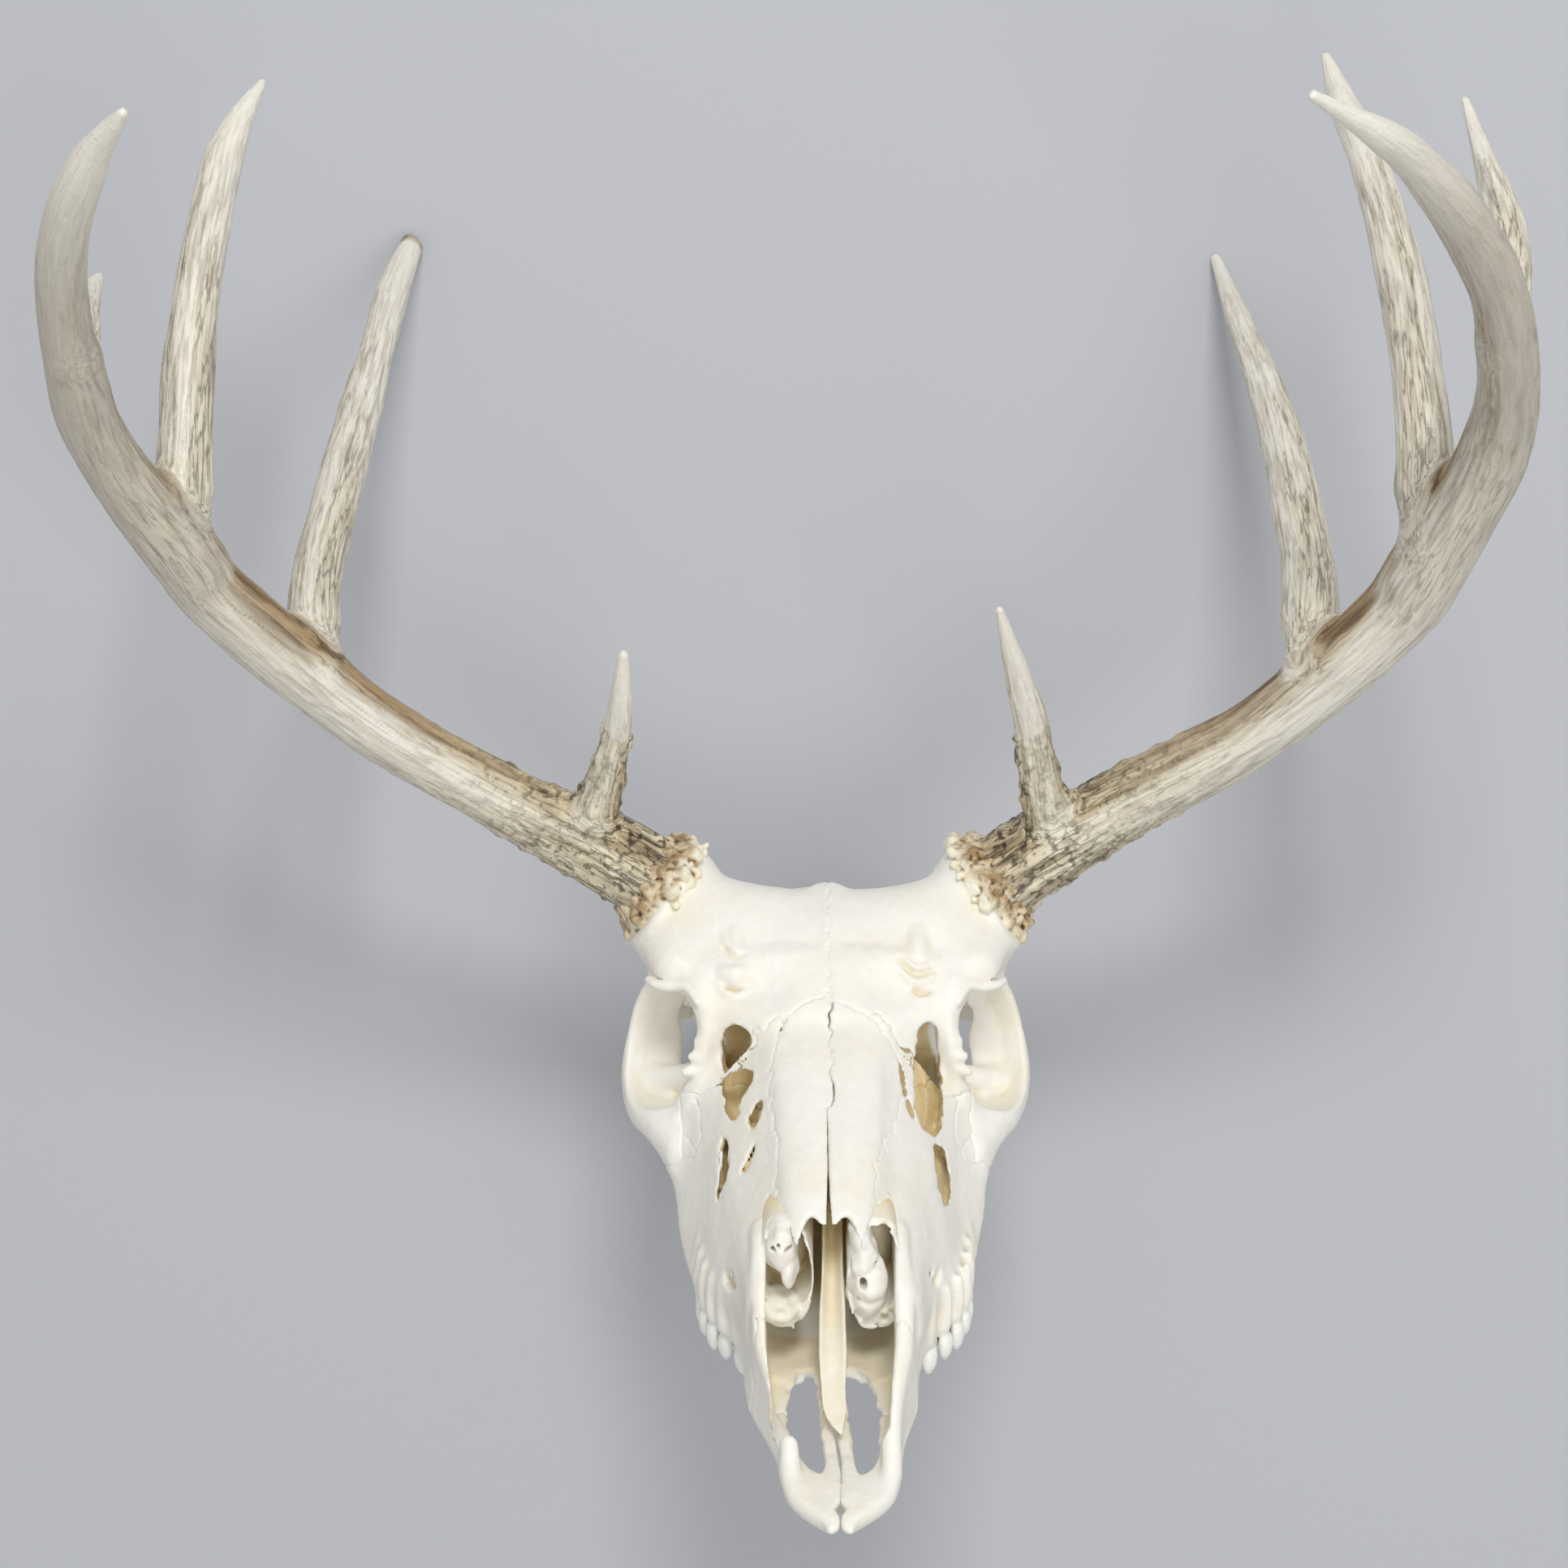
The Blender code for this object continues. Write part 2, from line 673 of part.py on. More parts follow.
def tube(name, path, side, frame, extra=0.0, material=None):
    """A round tube along the path, from a bevelled curve made a mesh."""
    curve = bpy.data.curves.new(name, "CURVE")
    curve.dimensions = "3D"
    curve.bevel_depth = MM
    curve.bevel_resolution = TUBE_RESOLUTION
    curve.use_fill_caps = True
    spline = curve.splines.new("POLY")
    spline.points.add(len(path) - 1)
    for point, (out, along, up, radius) in zip(spline.points, path):
        point.co = (out * side * MM, along * MM, up * MM, 1)
        point.radius = radius + extra
    guide = bpy.data.objects.new(name + "_curve", curve)
    bpy.data.collections["cutters"].objects.link(guide)
    mesh = evaluated_mesh(guide)
    bpy.data.objects.remove(guide)
    bm = bmesh.new()
    bm.from_mesh(mesh)
    bmesh.ops.remove_doubles(bm, verts=bm.verts, dist=0.00002)
    return add_object(name, mesh_from(bm, name), frame, material)


def fork_cuts(name, path, index, side, frame):
    """Two large boxes that meet, but for the gap, across the path halfway along the stretch after index."""
    mirror = np.array((side, 1, 1))
    middle = Vector((path[index, :3] + path[index + 1, :3]) / 2 * mirror) * MM
    turn = Vector((path[index + 1, :3] - path[index, :3]) * mirror).to_track_quat("Z", "Y")
    size = 600 * MM
    cuts = []
    for part, way in (("before", -1), ("after", 1)):
        bm = bmesh.new()
        matrix = Matrix.Translation(middle) @ turn.to_matrix().to_4x4()
        matrix = matrix @ Matrix.Translation((0, 0, way * (size - GAP) / 2))
        bmesh.ops.create_cube(bm, size=size, matrix=matrix)
        cuts.append(add_object(f"{name}_{part}", mesh_from(bm, name), frame))
    return cuts


def nearest_index(path, out, along):
    return int(np.argmin(np.hypot(path[:, 0] - out, path[:, 1] - along)))


def burr_matrix(side):
    axis = Vector((BURR_AXIS[0] * side, *BURR_AXIS[1:])).normalized()
    centre = Vector((BURR_CENTRE[0] * side, *BURR_CENTRE[1:])) * MM
    return Matrix.Translation(centre) @ axis.to_track_quat("Z", "Y").to_matrix().to_4x4()


def make_burr(word, side, frame, material):
    """The knobbly ring where the antler meets the skull, as a lobed disc."""
    rings = []
    count = BURR_LOBES * 3
    half = BURR_THICKNESS / 2 - GAP / MM
    for height, share in ((-half, 0.86), (-half * 0.3, 1), (half * 0.5, 0.98), (half, 0.8)):
        ring = []
        for index in range(count):
            angle = math.tau * index / count
            radius = BURR_RADIUS * share * (1 + 0.055 * math.cos(BURR_LOBES * angle))
            ring.append((radius * math.cos(angle), radius * math.sin(angle), height))
        rings.append(ring)
    name = "burr_" + word
    return add_object(name, shapes_mesh([rings_shape(rings)], name), frame, material, burr_matrix(side))


def burr_cutter(name, side, low, high, frame):
    """A disc wider than the burr, from low to high along its axis, which the burr's neighbours are cut by."""
    bm = bmesh.new()
    radius = BURR_ROOM_RADIUS * MM
    matrix = burr_matrix(side) @ Matrix.Translation((0, 0, (low + high) / 2 * MM))
    bmesh.ops.create_cone(
        bm, cap_ends=True, segments=24, radius1=radius, radius2=radius, depth=(high - low) * MM, matrix=matrix
    )
    return add_object(name, mesh_from(bm, name), frame)


def make_antler(word, side, frame, floor, materials):
    """Burr, three lengths of beam and four tines, each its own piece."""
    antler, pearled = materials
    make_burr(word, side, frame, pearled)
    half = BURR_THICKNESS / 2
    burr_side = burr_cutter("burr_side_" + word, side, half - BURR_ROOM_DEPTH, half, frame)
    path = smooth_path(BEAMS[word], PATH_STEP)
    first = fork_cuts("first_fork_" + word, path, nearest_index(path, *FORKS[word][0]), side, frame)
    second = fork_cuts("second_fork_" + word, path, nearest_index(path, *FORKS[word][1]), side, frame)
    beam_cuts = {"lower": (first[1], burr_side), "middle": (first[0], second[1]), "upper": (second[0],)}
    pieces = {}
    for length, cuts in beam_cuts.items():
        name = f"beam_{word}_{length}"
        pieces[name] = tube(name, path, side, frame, material=antler)
        for cut in cuts:
            boolean(pieces[name], cut)
    clear_of_beam = tube("beam_room_" + word, path, side, frame, extra=GAP / MM)
    for tine, rows in TINES[word].items():
        name = f"tine_{word}_{tine}"
        pieces[name] = tube(name, smooth_path(rows, PATH_STEP), side, frame, material=antler)
        boolean(pieces[name], clear_of_beam)
        if tine == "second":
            boolean(pieces[name], floor)
    settle(pieces, frame, antler)


def main():
    clear_scene()
    bone = make_material("bleached_bone", (0.83, 0.80, 0.70), 0.5)
    antler = make_material("antler", (0.52, 0.45, 0.34), 0.5)
    pearled = make_material("pearled_antler", (0.46, 0.36, 0.24), 0.6)

    resting = add_frame("resting_frame", (MIDLINE_X, NOSE_Y, 0))
    skull = add_frame("skull_frame", (0, 0, SKULL_LIFT), (-PITCH, 0, 0), resting)
    floor = cutter_box("floor_room", (-400, -100, -60), (400, 600, 0), resting)
    half = BURR_THICKNESS / 2
    rooms = [burr_cutter("burr_room_" + word, SIDES[word], -half, BURR_ROOM_DEPTH, resting) for word in SIDES]
    settle(skull_pieces(skull, bone, [*rooms, floor]), skull, bone)
    make_vomer(skull, bone)
    for word, side in SIDES.items():
        make_antler(word, side, resting, floor, (antler, pearled))


main()
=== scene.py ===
import math
import bpy
import numpy as np
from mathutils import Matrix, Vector


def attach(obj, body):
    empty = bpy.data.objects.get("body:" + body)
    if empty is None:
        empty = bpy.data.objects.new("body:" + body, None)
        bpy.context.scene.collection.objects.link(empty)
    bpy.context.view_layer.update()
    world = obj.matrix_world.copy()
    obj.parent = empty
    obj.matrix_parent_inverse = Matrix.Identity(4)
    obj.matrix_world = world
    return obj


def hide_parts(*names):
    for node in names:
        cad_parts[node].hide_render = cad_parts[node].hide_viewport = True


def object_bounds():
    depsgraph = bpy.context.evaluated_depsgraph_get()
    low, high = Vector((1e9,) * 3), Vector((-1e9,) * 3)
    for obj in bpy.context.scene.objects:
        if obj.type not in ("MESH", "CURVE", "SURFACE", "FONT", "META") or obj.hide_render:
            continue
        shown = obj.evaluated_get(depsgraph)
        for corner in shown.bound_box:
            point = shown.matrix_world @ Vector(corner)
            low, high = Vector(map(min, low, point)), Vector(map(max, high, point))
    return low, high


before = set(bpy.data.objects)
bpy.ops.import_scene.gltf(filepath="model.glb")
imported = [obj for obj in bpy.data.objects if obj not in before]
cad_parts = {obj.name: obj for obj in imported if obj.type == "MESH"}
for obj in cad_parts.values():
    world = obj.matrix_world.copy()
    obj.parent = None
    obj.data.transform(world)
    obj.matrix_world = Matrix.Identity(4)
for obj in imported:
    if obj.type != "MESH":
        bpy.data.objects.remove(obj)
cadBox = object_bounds()

# The skull is shaped in its own frame, in millimetres: x to the animal's left, y back from the nose tip, z up
# from the plane that the cheek teeth bite on. The antlers are shaped in the resting frame: out from the
# skull's middle plane, y back and z up from the floor.
lie = {"pitch": math.radians(64), "lift": 238.1, "middleX": 8.35, "noseY": -209.5}
sides = {"right": -1, "left": 1}
fineness = {"skull": 0.7, "antler": 0.8, "detail": 0.45}  # mm between the points of each kind of field
farAway = 12  # the distance that an empty field starts with


def restToWorld(points):
    # Shifts the resting frame to the model's origin and turns millimetres to metres
    return (points + (lie["middleX"], lie["noseY"], 0)) / 1000


def skullToWorld(points):
    # Turns y and z by the pitch, lifts the result, then shifts it as the resting frame
    cosine, sine = math.cos(lie["pitch"]), math.sin(lie["pitch"])
    x, y, z = points.T
    return restToWorld(np.stack([x, y * cosine + z * sine, lie["lift"] - y * sine + z * cosine], axis=1))


def restToSkull(point):
    out, along, up = point
    cosine, sine = math.cos(lie["pitch"]), math.sin(lie["pitch"])
    return (out, along * cosine - (up - lie["lift"]) * sine, along * sine + (up - lie["lift"]) * cosine)


def tableAt(rows, places):
    # A cubic through the rows, the slope at each row taken from its neighbours; the first column is the place
    rows = np.array(rows, float)
    at, values = rows[:, 0], rows[:, 1:]
    slopes = np.gradient(values, at, axis=0)
    places = np.asarray(places, float)
    index = np.clip(np.searchsorted(at, places) - 1, 0, len(at) - 2)
    width = (at[index + 1] - at[index])[..., None]
    t = np.clip((places - at[index])[..., None] / width, 0, 1)
    start, end = values[index], values[index + 1]
    bend = slopes[index] * width * t * (1 - t) ** 2 - slopes[index + 1] * width * t**2 * (1 - t)
    result = start + (end - start) * t**2 * (3 - 2 * t) + bend
    return result[..., 0] if values.shape[1] == 1 else result


def catmullRom(before, start, end, after, t):
    # The curve from start to end whose slope at each is half the way between that point's neighbours
    cubic = (3 * start - before - 3 * end + after) * t**3
    square = (2 * before - 5 * start + 4 * end - after) * t**2
    return (2 * start + (end - before) * t + square + cubic) / 2


def curveThrough(rows, step):
    # Points a step apart along the Catmull-Rom curve through the rows, whose other columns follow it
    rows = np.array(rows, float)
    padded = np.vstack([2 * rows[0] - rows[1], rows, 2 * rows[-1] - rows[-2]])
    t = np.linspace(0, 1, 20, endpoint=False)[:, None]
    fine = [catmullRom(*four, t) for four in zip(padded, padded[1:], padded[2:], padded[3:])]
    fine = np.vstack([*fine, rows[-1:]])
    along = np.concatenate([[0], np.cumsum(np.linalg.norm(np.diff(fine[:, :3], axis=0), axis=1))])
    wanted = np.linspace(0, along[-1], max(3, round(along[-1] / step) + 1))
    return np.stack([np.interp(wanted, along, column) for column in fine.T], axis=1)


def ramp(value, start, length):
    # From 0 at the start to 1 a length further on
    return np.clip((value - start) / length, 0, 1)


def softMin(first, second, soft):
    # The lesser of the two, lowered by up to soft / 4 where they are nearly equal, which rounds the join
    near = np.maximum(soft - np.abs(first - second), 0) / soft
    return np.minimum(first, second) - near * near * (soft / 4)


def softMax(first, second, soft):
    return -softMin(-first, -second, soft)


def grit(points, size, seed):
    # Seeded random numbers at the corners of cubes of this size, blended smoothly in between: about -1 to 1
    place = points / size + 31.7 * seed
    whole = np.floor(place).astype(np.int64)
    part = place - whole
    part = part * part * (3 - 2 * part)
    table = np.random.default_rng(seed).uniform(-1, 1, 4096)
    total = np.zeros(len(points))
    for corner in np.ndindex(2, 2, 2):
        x, y, z = (whole + corner).T
        share = np.prod(np.where(corner, part, 1 - part), axis=1)
        total += share * table[(x * 73856093 ^ y * 19349663 ^ z * 83492791) & 4095]
    return total * 1.4


def jagged(bound, x, y, z, size, reach, seed):
    # Moves a region's edge to and fro by noise, which is worked out only near the edge
    bound = np.array(np.broadcast_to(bound, (x.size, y.size, z.size)))
    near = np.nonzero(np.abs(bound) < reach * 1.6)
    points = np.stack([x[near[0], 0, 0], y[0, near[1], 0], z[0, 0, near[2]]], axis=1)
    bound[near] += reach * grit(points, size, seed)
    return bound


def outlineDistance(across, up, corners, closed=True):
    # The distance to the nearest side of a flat outline, below 0 where a ray to the right crosses it an odd
    # number of times; an open outline ends on the line that it is mirrored about
    corners = np.asarray(corners, float)
    ends = np.roll(corners, -1, axis=0) if closed else corners[1:]
    least, inside = np.inf, False
    for (startX, startZ), (endX, endZ) in zip(corners, ends):
        wayX, wayZ = endX - startX, endZ - startZ
        share = ((across - startX) * wayX + (up - startZ) * wayZ) / (wayX**2 + wayZ**2 + 1e-9)
        share = np.clip(share, 0, 1)
        least = np.minimum(least, (across - startX - share * wayX) ** 2 + (up - startZ - share * wayZ) ** 2)
        if wayZ:
            crossed = across < startX + (up - startZ) / wayZ * wayX
            inside = inside ^ (((startZ > up) != (endZ > up)) & crossed)
    return np.where(inside, -1, 1) * np.sqrt(least)


def smoothLoop(corners, pieces=4):
    # A closed Catmull-Rom curve through the corners
    corners = np.asarray(corners, float)
    t = np.linspace(0, 1, pieces, endpoint=False)[:, None, None]
    before, after, last = (np.roll(corners, k, axis=0) for k in (1, -1, -2))
    curve = catmullRom(before, corners, after, last, t)
    return curve.transpose(1, 0, 2).reshape(-1, corners.shape[1])


def boxOf(path):
    # The lowest and highest corners of the balls along a path of x, y, z and radius
    return (path[:, :3] - path[:, 3:4]).min(axis=0), (path[:, :3] + path[:, 3:4]).max(axis=0)


class Field:
    # Distances to a surface in millimetres, below 0 inside it, on a block of points a step apart

    def __init__(self, low, high, step):
        self.low = np.array(low, float)
        self.step = step
        self.count = np.ceil((np.array(high) - self.low) / step).astype(int) + 1
        self.values = np.full(self.count, farAway, np.float32)

    def like(self, values):
        # Other values on the same block of points
        other = Field(self.low, self.low, self.step)
        other.count, other.values = self.count, values
        return other

    def window(self, low, high):
        first = np.clip(np.floor((np.array(low) - self.low) / self.step), 0, self.count - 1).astype(int)
        last = np.clip(np.ceil((np.array(high) - self.low) / self.step) + 1, 1, self.count).astype(int)
        axes = [self.low[k] + self.step * np.arange(first[k], last[k]) for k in range(3)]
        x, y, z = (axis.astype(np.float32) for axis in axes)
        where = tuple(slice(a, b) for a, b in zip(first, last))
        return where, x[:, None, None], y[None, :, None], z[None, None, :]

    def near(self, shape, soft):
        # The window round a shape with room for its soft join, and the distances there
        low, high, distance = shape
        where, x, y, z = self.window(np.array(low) - soft - 2, np.array(high) + soft + 2)
        return where, distance(x, y, z)

    def add(self, shape, soft):
        where, distance = self.near(shape, soft)
        self.values[where] = softMin(self.values[where], distance, soft)

    def cut(self, shape, soft):
        where, distance = self.near(shape, soft)
        self.values[where] = softMax(self.values[where], -distance, soft)

    def cutUnder(self, shape, blank, nearest, furthest, soft):
        # Cuts a shape only between two depths under the uncut surface
        low, high, distance = shape
        where, x, y, z = self.window(low, high)
        depth = -blank.values[where]
        region = np.maximum(distance(x, y, z), np.maximum(nearest - depth, depth - furthest))
        self.values[where] = softMax(self.values[where], -region, soft)

    def addTube(self, path, soft):
        # The tapering stretches between a path's points, each worked out near it, joined to what is there
        reach = soft + 3
        low, high = boxOf(path)
        whole, *_ = self.window(low - reach, high + reach)
        tube = self.like(np.full(self.count, farAway, np.float32))
        for start in range(0, len(path) - 1, 6):
            part = path[start:start + 7]
            low, high, distance = rodAlong(part)
            where, x, y, z = self.window(low - reach, high + reach)
            tube.values[where] = np.minimum(tube.values[where], distance(x, y, z))
        self.values[whole] = softMin(self.values[whole], tube.values[whole], soft)

    def soften(self, rounds):
        # Each round averages every point with its neighbours along the three axes, which rounds hard edges
        for axis in [0, 1, 2] * rounds:
            middle = tuple(slice(1, -1) if k == axis else slice(None) for k in range(3))
            before = tuple(slice(None, -2) if k == axis else slice(None) for k in range(3))
            after = tuple(slice(2, None) if k == axis else slice(None) for k in range(3))
            self.values[middle] = (2 * self.values[middle] + self.values[before] + self.values[after]) / 4

    def at(self, points):
        # Straight-line interpolation between the eight points round each place
        place = np.clip((points - self.low) / self.step, 0, self.count - 1.001)
        whole = place.astype(int)
        part = place - whole
        total = np.zeros(len(points))
        for corner in np.ndindex(2, 2, 2):
            share = np.prod(np.where(corner, part, 1 - part), axis=1)
            total += share * self.values[tuple((whole + corner).T)]
        return total


def surfaceOf(values, low, step):
    # One vertex in each cell that the surface crosses, at the mean of the places where it crosses the cell's
    # edges, and one quad round each crossed edge, through the four cells that share it
    values = np.pad(values, 1, constant_values=farAway)
    inside = values < 0
    size = np.array(values.shape)
    quads, places = [], []
    for axis in range(3):
        near = tuple(slice(None, -1) if k == axis else slice(None) for k in range(3))
        far = tuple(slice(1, None) if k == axis else slice(None) for k in range(3))
        start = np.argwhere(inside[near] != inside[far])
        end = start.copy()
        end[:, axis] += 1
        a, b = values[tuple(start.T)], values[tuple(end.T)]
        place = start.astype(float)
        place[:, axis] += a / (a - b)
        around = []
        for u, v in ((-1, -1), (0, -1), (0, 0), (-1, 0)):
            cell = start.copy()
            cell[:, (axis + 1) % 3] += u
            cell[:, (axis + 2) % 3] += v
            around.append(np.ravel_multi_index(tuple(cell.T), size))
        around = np.stack(around, axis=1)
        around[a >= 0] = around[a >= 0][:, ::-1]
        quads.append(around)
        places.append(np.repeat(place, 4, axis=0))
    quads, places = np.concatenate(quads), np.concatenate(places)
    cells, corners = np.unique(quads.ravel(), return_inverse=True)
    hits = np.bincount(corners)
    points = np.stack([np.bincount(corners, places[:, k]) / hits for k in range(3)], axis=1)
    return mainBody((points - 1) * step + low, corners.reshape(-1, 4))


def mainBody(points, quads):
    # Keeps the largest connected body: each vertex takes its quads' lowest label until none changes
    label = np.arange(len(points))
    while True:
        least = label[quads].min(axis=1)
        fresh = label.copy()
        for corner in range(4):
            np.minimum.at(fresh, quads[:, corner], least)
        fresh = fresh[fresh]
        if (fresh == label).all():
            break
        label = fresh
    kept = label == np.bincount(label).argmax()
    renumber = np.cumsum(kept) - 1
    return points[kept], renumber[quads[kept[quads[:, 0]]]]


def meanOfNeighbours(points, quads):
    start = quads.ravel()
    end = np.roll(quads, -1, axis=1).ravel()
    both, other = np.concatenate([start, end]), np.concatenate([end, start])
    hits = np.bincount(both, minlength=len(points))
    return np.stack([np.bincount(both, points[other, k], len(points)) / hits for k in range(3)], axis=1)


def relaxed(points, quads, rounds, share=0.5, back=0.0):
    # Each round moves a vertex a share of the way to its neighbours' mean, then a share back to hold the bulk
    for _ in range(rounds):
        points = points + share * (meanOfNeighbours(points, quads) - points)
        if back:
            points = points - back * (meanOfNeighbours(points, quads) - points)
    return points


def normalsOf(points, quads):
    # The cross product of each quad's diagonals, summed at its corners
    p = points[quads]
    facing = np.cross(p[:, 2] - p[:, 0], p[:, 3] - p[:, 1])
    total = [np.bincount(quads.ravel(), np.repeat(facing[:, k], 4), len(points)) for k in range(3)]
    total = np.stack(total, axis=1)
    return total / np.maximum(np.linalg.norm(total, axis=1), 1e-9)[:, None]


def makePiece(name, points, quads, nodes, material, values):
    # A mesh from whole arrays, shaded smooth, with a number or vector for each vertex under each value's name
    points = np.clip(points, *cadBox)
    mesh = bpy.data.meshes.new(name)
    mesh.vertices.add(len(points))
    mesh.vertices.foreach_set("co", points.astype(np.float32).ravel())
    mesh.loops.add(quads.size)
    mesh.loops.foreach_set("vertex_index", quads.astype(np.int32).ravel())
    mesh.polygons.add(len(quads))
    mesh.polygons.foreach_set("loop_start", np.arange(0, quads.size, 4, dtype=np.int32))
    mesh.update(calc_edges=True)
    mesh.shade_smooth()
    for label, numbers in values.items():
        kind, field = ("FLOAT", "value") if numbers.ndim == 1 else ("FLOAT_VECTOR", "vector")
        layer = mesh.attributes.new(label, kind, "POINT")
        layer.data.foreach_set(field, numbers.astype(np.float32).ravel())
    mesh.materials.append(material)
    piece = bpy.data.objects.new(name, mesh)
    bpy.context.scene.collection.objects.link(piece)
    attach(piece, "root")
    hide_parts(*nodes)
    print(name, "has", 2 * len(quads), "triangles")


# Shapes for a field: each is its lowest corner, its highest corner and a function that gives the distance

def ball(centre, radii, turn=0.0):
    # An ellipsoid, turned by an angle in degrees about x; distance = k (k - 1) / m, with k the length of the
    # place divided by the radii, and m the length of the place divided by their squares
    centre, radii = np.array(centre, float), np.array(radii, float)
    cosine, sine = math.cos(math.radians(turn)), math.sin(math.radians(turn))

    def distance(x, y, z):
        x, y, z = x - centre[0], y - centre[1], z - centre[2]
        y, z = y * cosine + z * sine, z * cosine - y * sine
        k = np.sqrt((x / radii[0]) ** 2 + (y / radii[1]) ** 2 + (z / radii[2]) ** 2)
        m = np.sqrt((x / radii[0] ** 2) ** 2 + (y / radii[1] ** 2) ** 2 + (z / radii[2] ** 2) ** 2)
        return k * (k - 1) / np.maximum(m, 1e-6)

    reach = radii if not turn else np.array((radii[0], radii[1:].max(), radii[1:].max()))
    return centre - reach, centre + reach, distance


def sideBall(centre, radii, side):
    return ball((centre[0] * side, *centre[1:]), radii)


def rodAlong(path, flatten=1.0, axis=(1, 0, 0)):
    # The least distance to the tapering stretches between the points of a path of x, y, z and radius. The bar
    # is flattened along the axis, by stretching space along it.
    axis = np.array(axis, float) / np.linalg.norm(axis)
    grow = 1 / flatten - 1
    spine = path[:, :3] + np.outer(path[:, :3] @ axis, axis) * grow

    def distance(x, y, z):
        if grow:
            shift = (x * axis[0] + y * axis[1] + z * axis[2]) * grow
            x, y, z = x + shift * axis[0], y + shift * axis[1], z + shift * axis[2]
        least = None
        for start, end, radius, last in zip(spine, spine[1:], path[:, 3], path[1:, 3]):
            way = end - start
            away = [x - start[0], y - start[1], z - start[2]]
            t = np.clip(sum(a * w for a, w in zip(away, way)) / (way @ way), 0, 1)
            gap = np.sqrt(sum((a - t * w) ** 2 for a, w in zip(away, way))) - (radius + t * (last - radius))
            least = gap if least is None else np.minimum(least, gap)
        return least * (0.5 + 0.5 * flatten)

    return *boxOf(path), distance


def rod(rows, flatten=1.0, axis=(1, 0, 0), step=4.0):
    return rodAlong(curveThrough(rows, step), flatten, axis)


def loft(rows, outlineAt, width, heights, ease, lean=0.0):
    # Slices across y: in each, the distance to the outline, which is given for one side and mirrored, and
    # beyond the end slices the distance along y. The lean shifts the lower parts to the animal's left.
    first, last = rows[0][0], rows[-1][0]

    def distance(x, y, z):
        up = z[0, 0][None, :]
        across = np.abs(x[:, 0, 0][:, None] - lean * np.clip(1 - up / 55, 0, 1))
        result = np.empty((x.shape[0], y.shape[1], z.shape[2]), np.float32)
        for index, place in enumerate(y[0, :, 0]):
            outline = outlineAt(tableAt(rows, min(max(place, first), last)))
            flat = outlineDistance(across, up, outline, closed=False)
            result[:, index] = softMax(flat, max(first - place, place - last), ease)
        return result

    return (-width, first, heights[0]), (width, last, heights[1]), distance


def rounded(corners, step=3):
    # A Catmull-Rom curve through an outline's corners, a few points to each stretch
    corners = np.array(corners, float)
    padded = np.vstack([corners[1] * (-1, 1), corners, corners[-2] * (-1, 1)])
    t = np.linspace(0, 1, step, endpoint=False)[:, None]
    curve = [catmullRom(*four, t) for four in zip(padded, padded[1:], padded[2:], padded[3:])]
    return np.vstack([*curve, corners[-1:]])


face = {
    # y, then the height of the roof, half-width and height of the nasal edge, of the cheek and of the facial
    # crest, half-width at the gum
    "rows": (
        (62, 51, 13, 46, 22, 39, 23.2, 25, 21),
        (80, 58, 14, 51, 23, 43, 27.5, 25, 27),
        (95, 63, 16, 56, 25, 45, 35, 20, 35),
        (110, 67, 17, 60, 28, 48, 40, 16, 39),
        (125, 71, 18, 64, 31, 50, 43.2, 21, 40.5),
        (140, 75, 20, 69, 34, 52, 45.4, 31, 39.5),
        (152, 79, 24, 74, 36, 58, 48.5, 37, 36),
        (163, 84, 34, 79, 40, 68, 42, 40, 24),
    ),
    "gumHeight": 11,
    "palate": ((60, 8.5), (85, 9.5), (105, 14), (140, 16), (165, 17)),
    "palateInset": 13,
}


def faceShape():
    rows = [(*row, np.interp(row[0], *zip(*face["palate"]))) for row in face["rows"]]

    def outlineAt(row):
        roof, nasalX, nasalZ, cheekX, cheekZ, crestX, crestZ, gumX, palate = row
        corners = (
            (0, roof - 0.6),
            (nasalX * 0.35, roof),
            (nasalX * 0.75, roof - 2),
            (nasalX, nasalZ),
            (cheekX, cheekZ),
            ((cheekX + crestX) / 2 + 0.6, (cheekZ + crestZ) / 2),
            (crestX, crestZ),
            ((crestX + gumX) / 2 - 0.5, (crestZ + face["gumHeight"]) / 2),
            (gumX, face["gumHeight"]),
            (gumX - 5, face["gumHeight"] - 1.5),
            (gumX - 11, face["gumHeight"]),
            (gumX - face["palateInset"], palate - 0.5),
            (0, palate),
        )
        return rounded(corners)

    return loft(rows, outlineAt, 53, (2, 86), 2.5, 1.2)


forehead = {
    # y, height of the roof, half-width, height of the edge, height of the underside
    "rows": (
        (146, 77.5, 25, 72, 50),
        (156, 82, 38, 75, 55),
        (165, 86, 45, 78.5, 60),
        (178, 90.5, 46, 83, 66),
        (190, 91.5, 40, 83, 62),
        (202, 86, 35, 75, 50),
        (216, 77, 30, 65, 45),
    ),
}


def foreheadShape():
    def outlineAt(row):
        roof, halfWidth, edge, under = row
        corners = (
            (0, roof),
            (halfWidth * 0.3, roof - 0.3),
            (halfWidth * 0.6, roof - 1.8),
            (halfWidth * 0.88, (roof + edge) / 2 - 1),
            (halfWidth, edge - 1.5),
            (halfWidth - 2.5, edge - 5),
            (halfWidth * 0.5, under + 6),
            (0, under),
        )
        return rounded(corners)

    return loft(forehead["rows"], outlineAt, 48, (40, 94), 4)


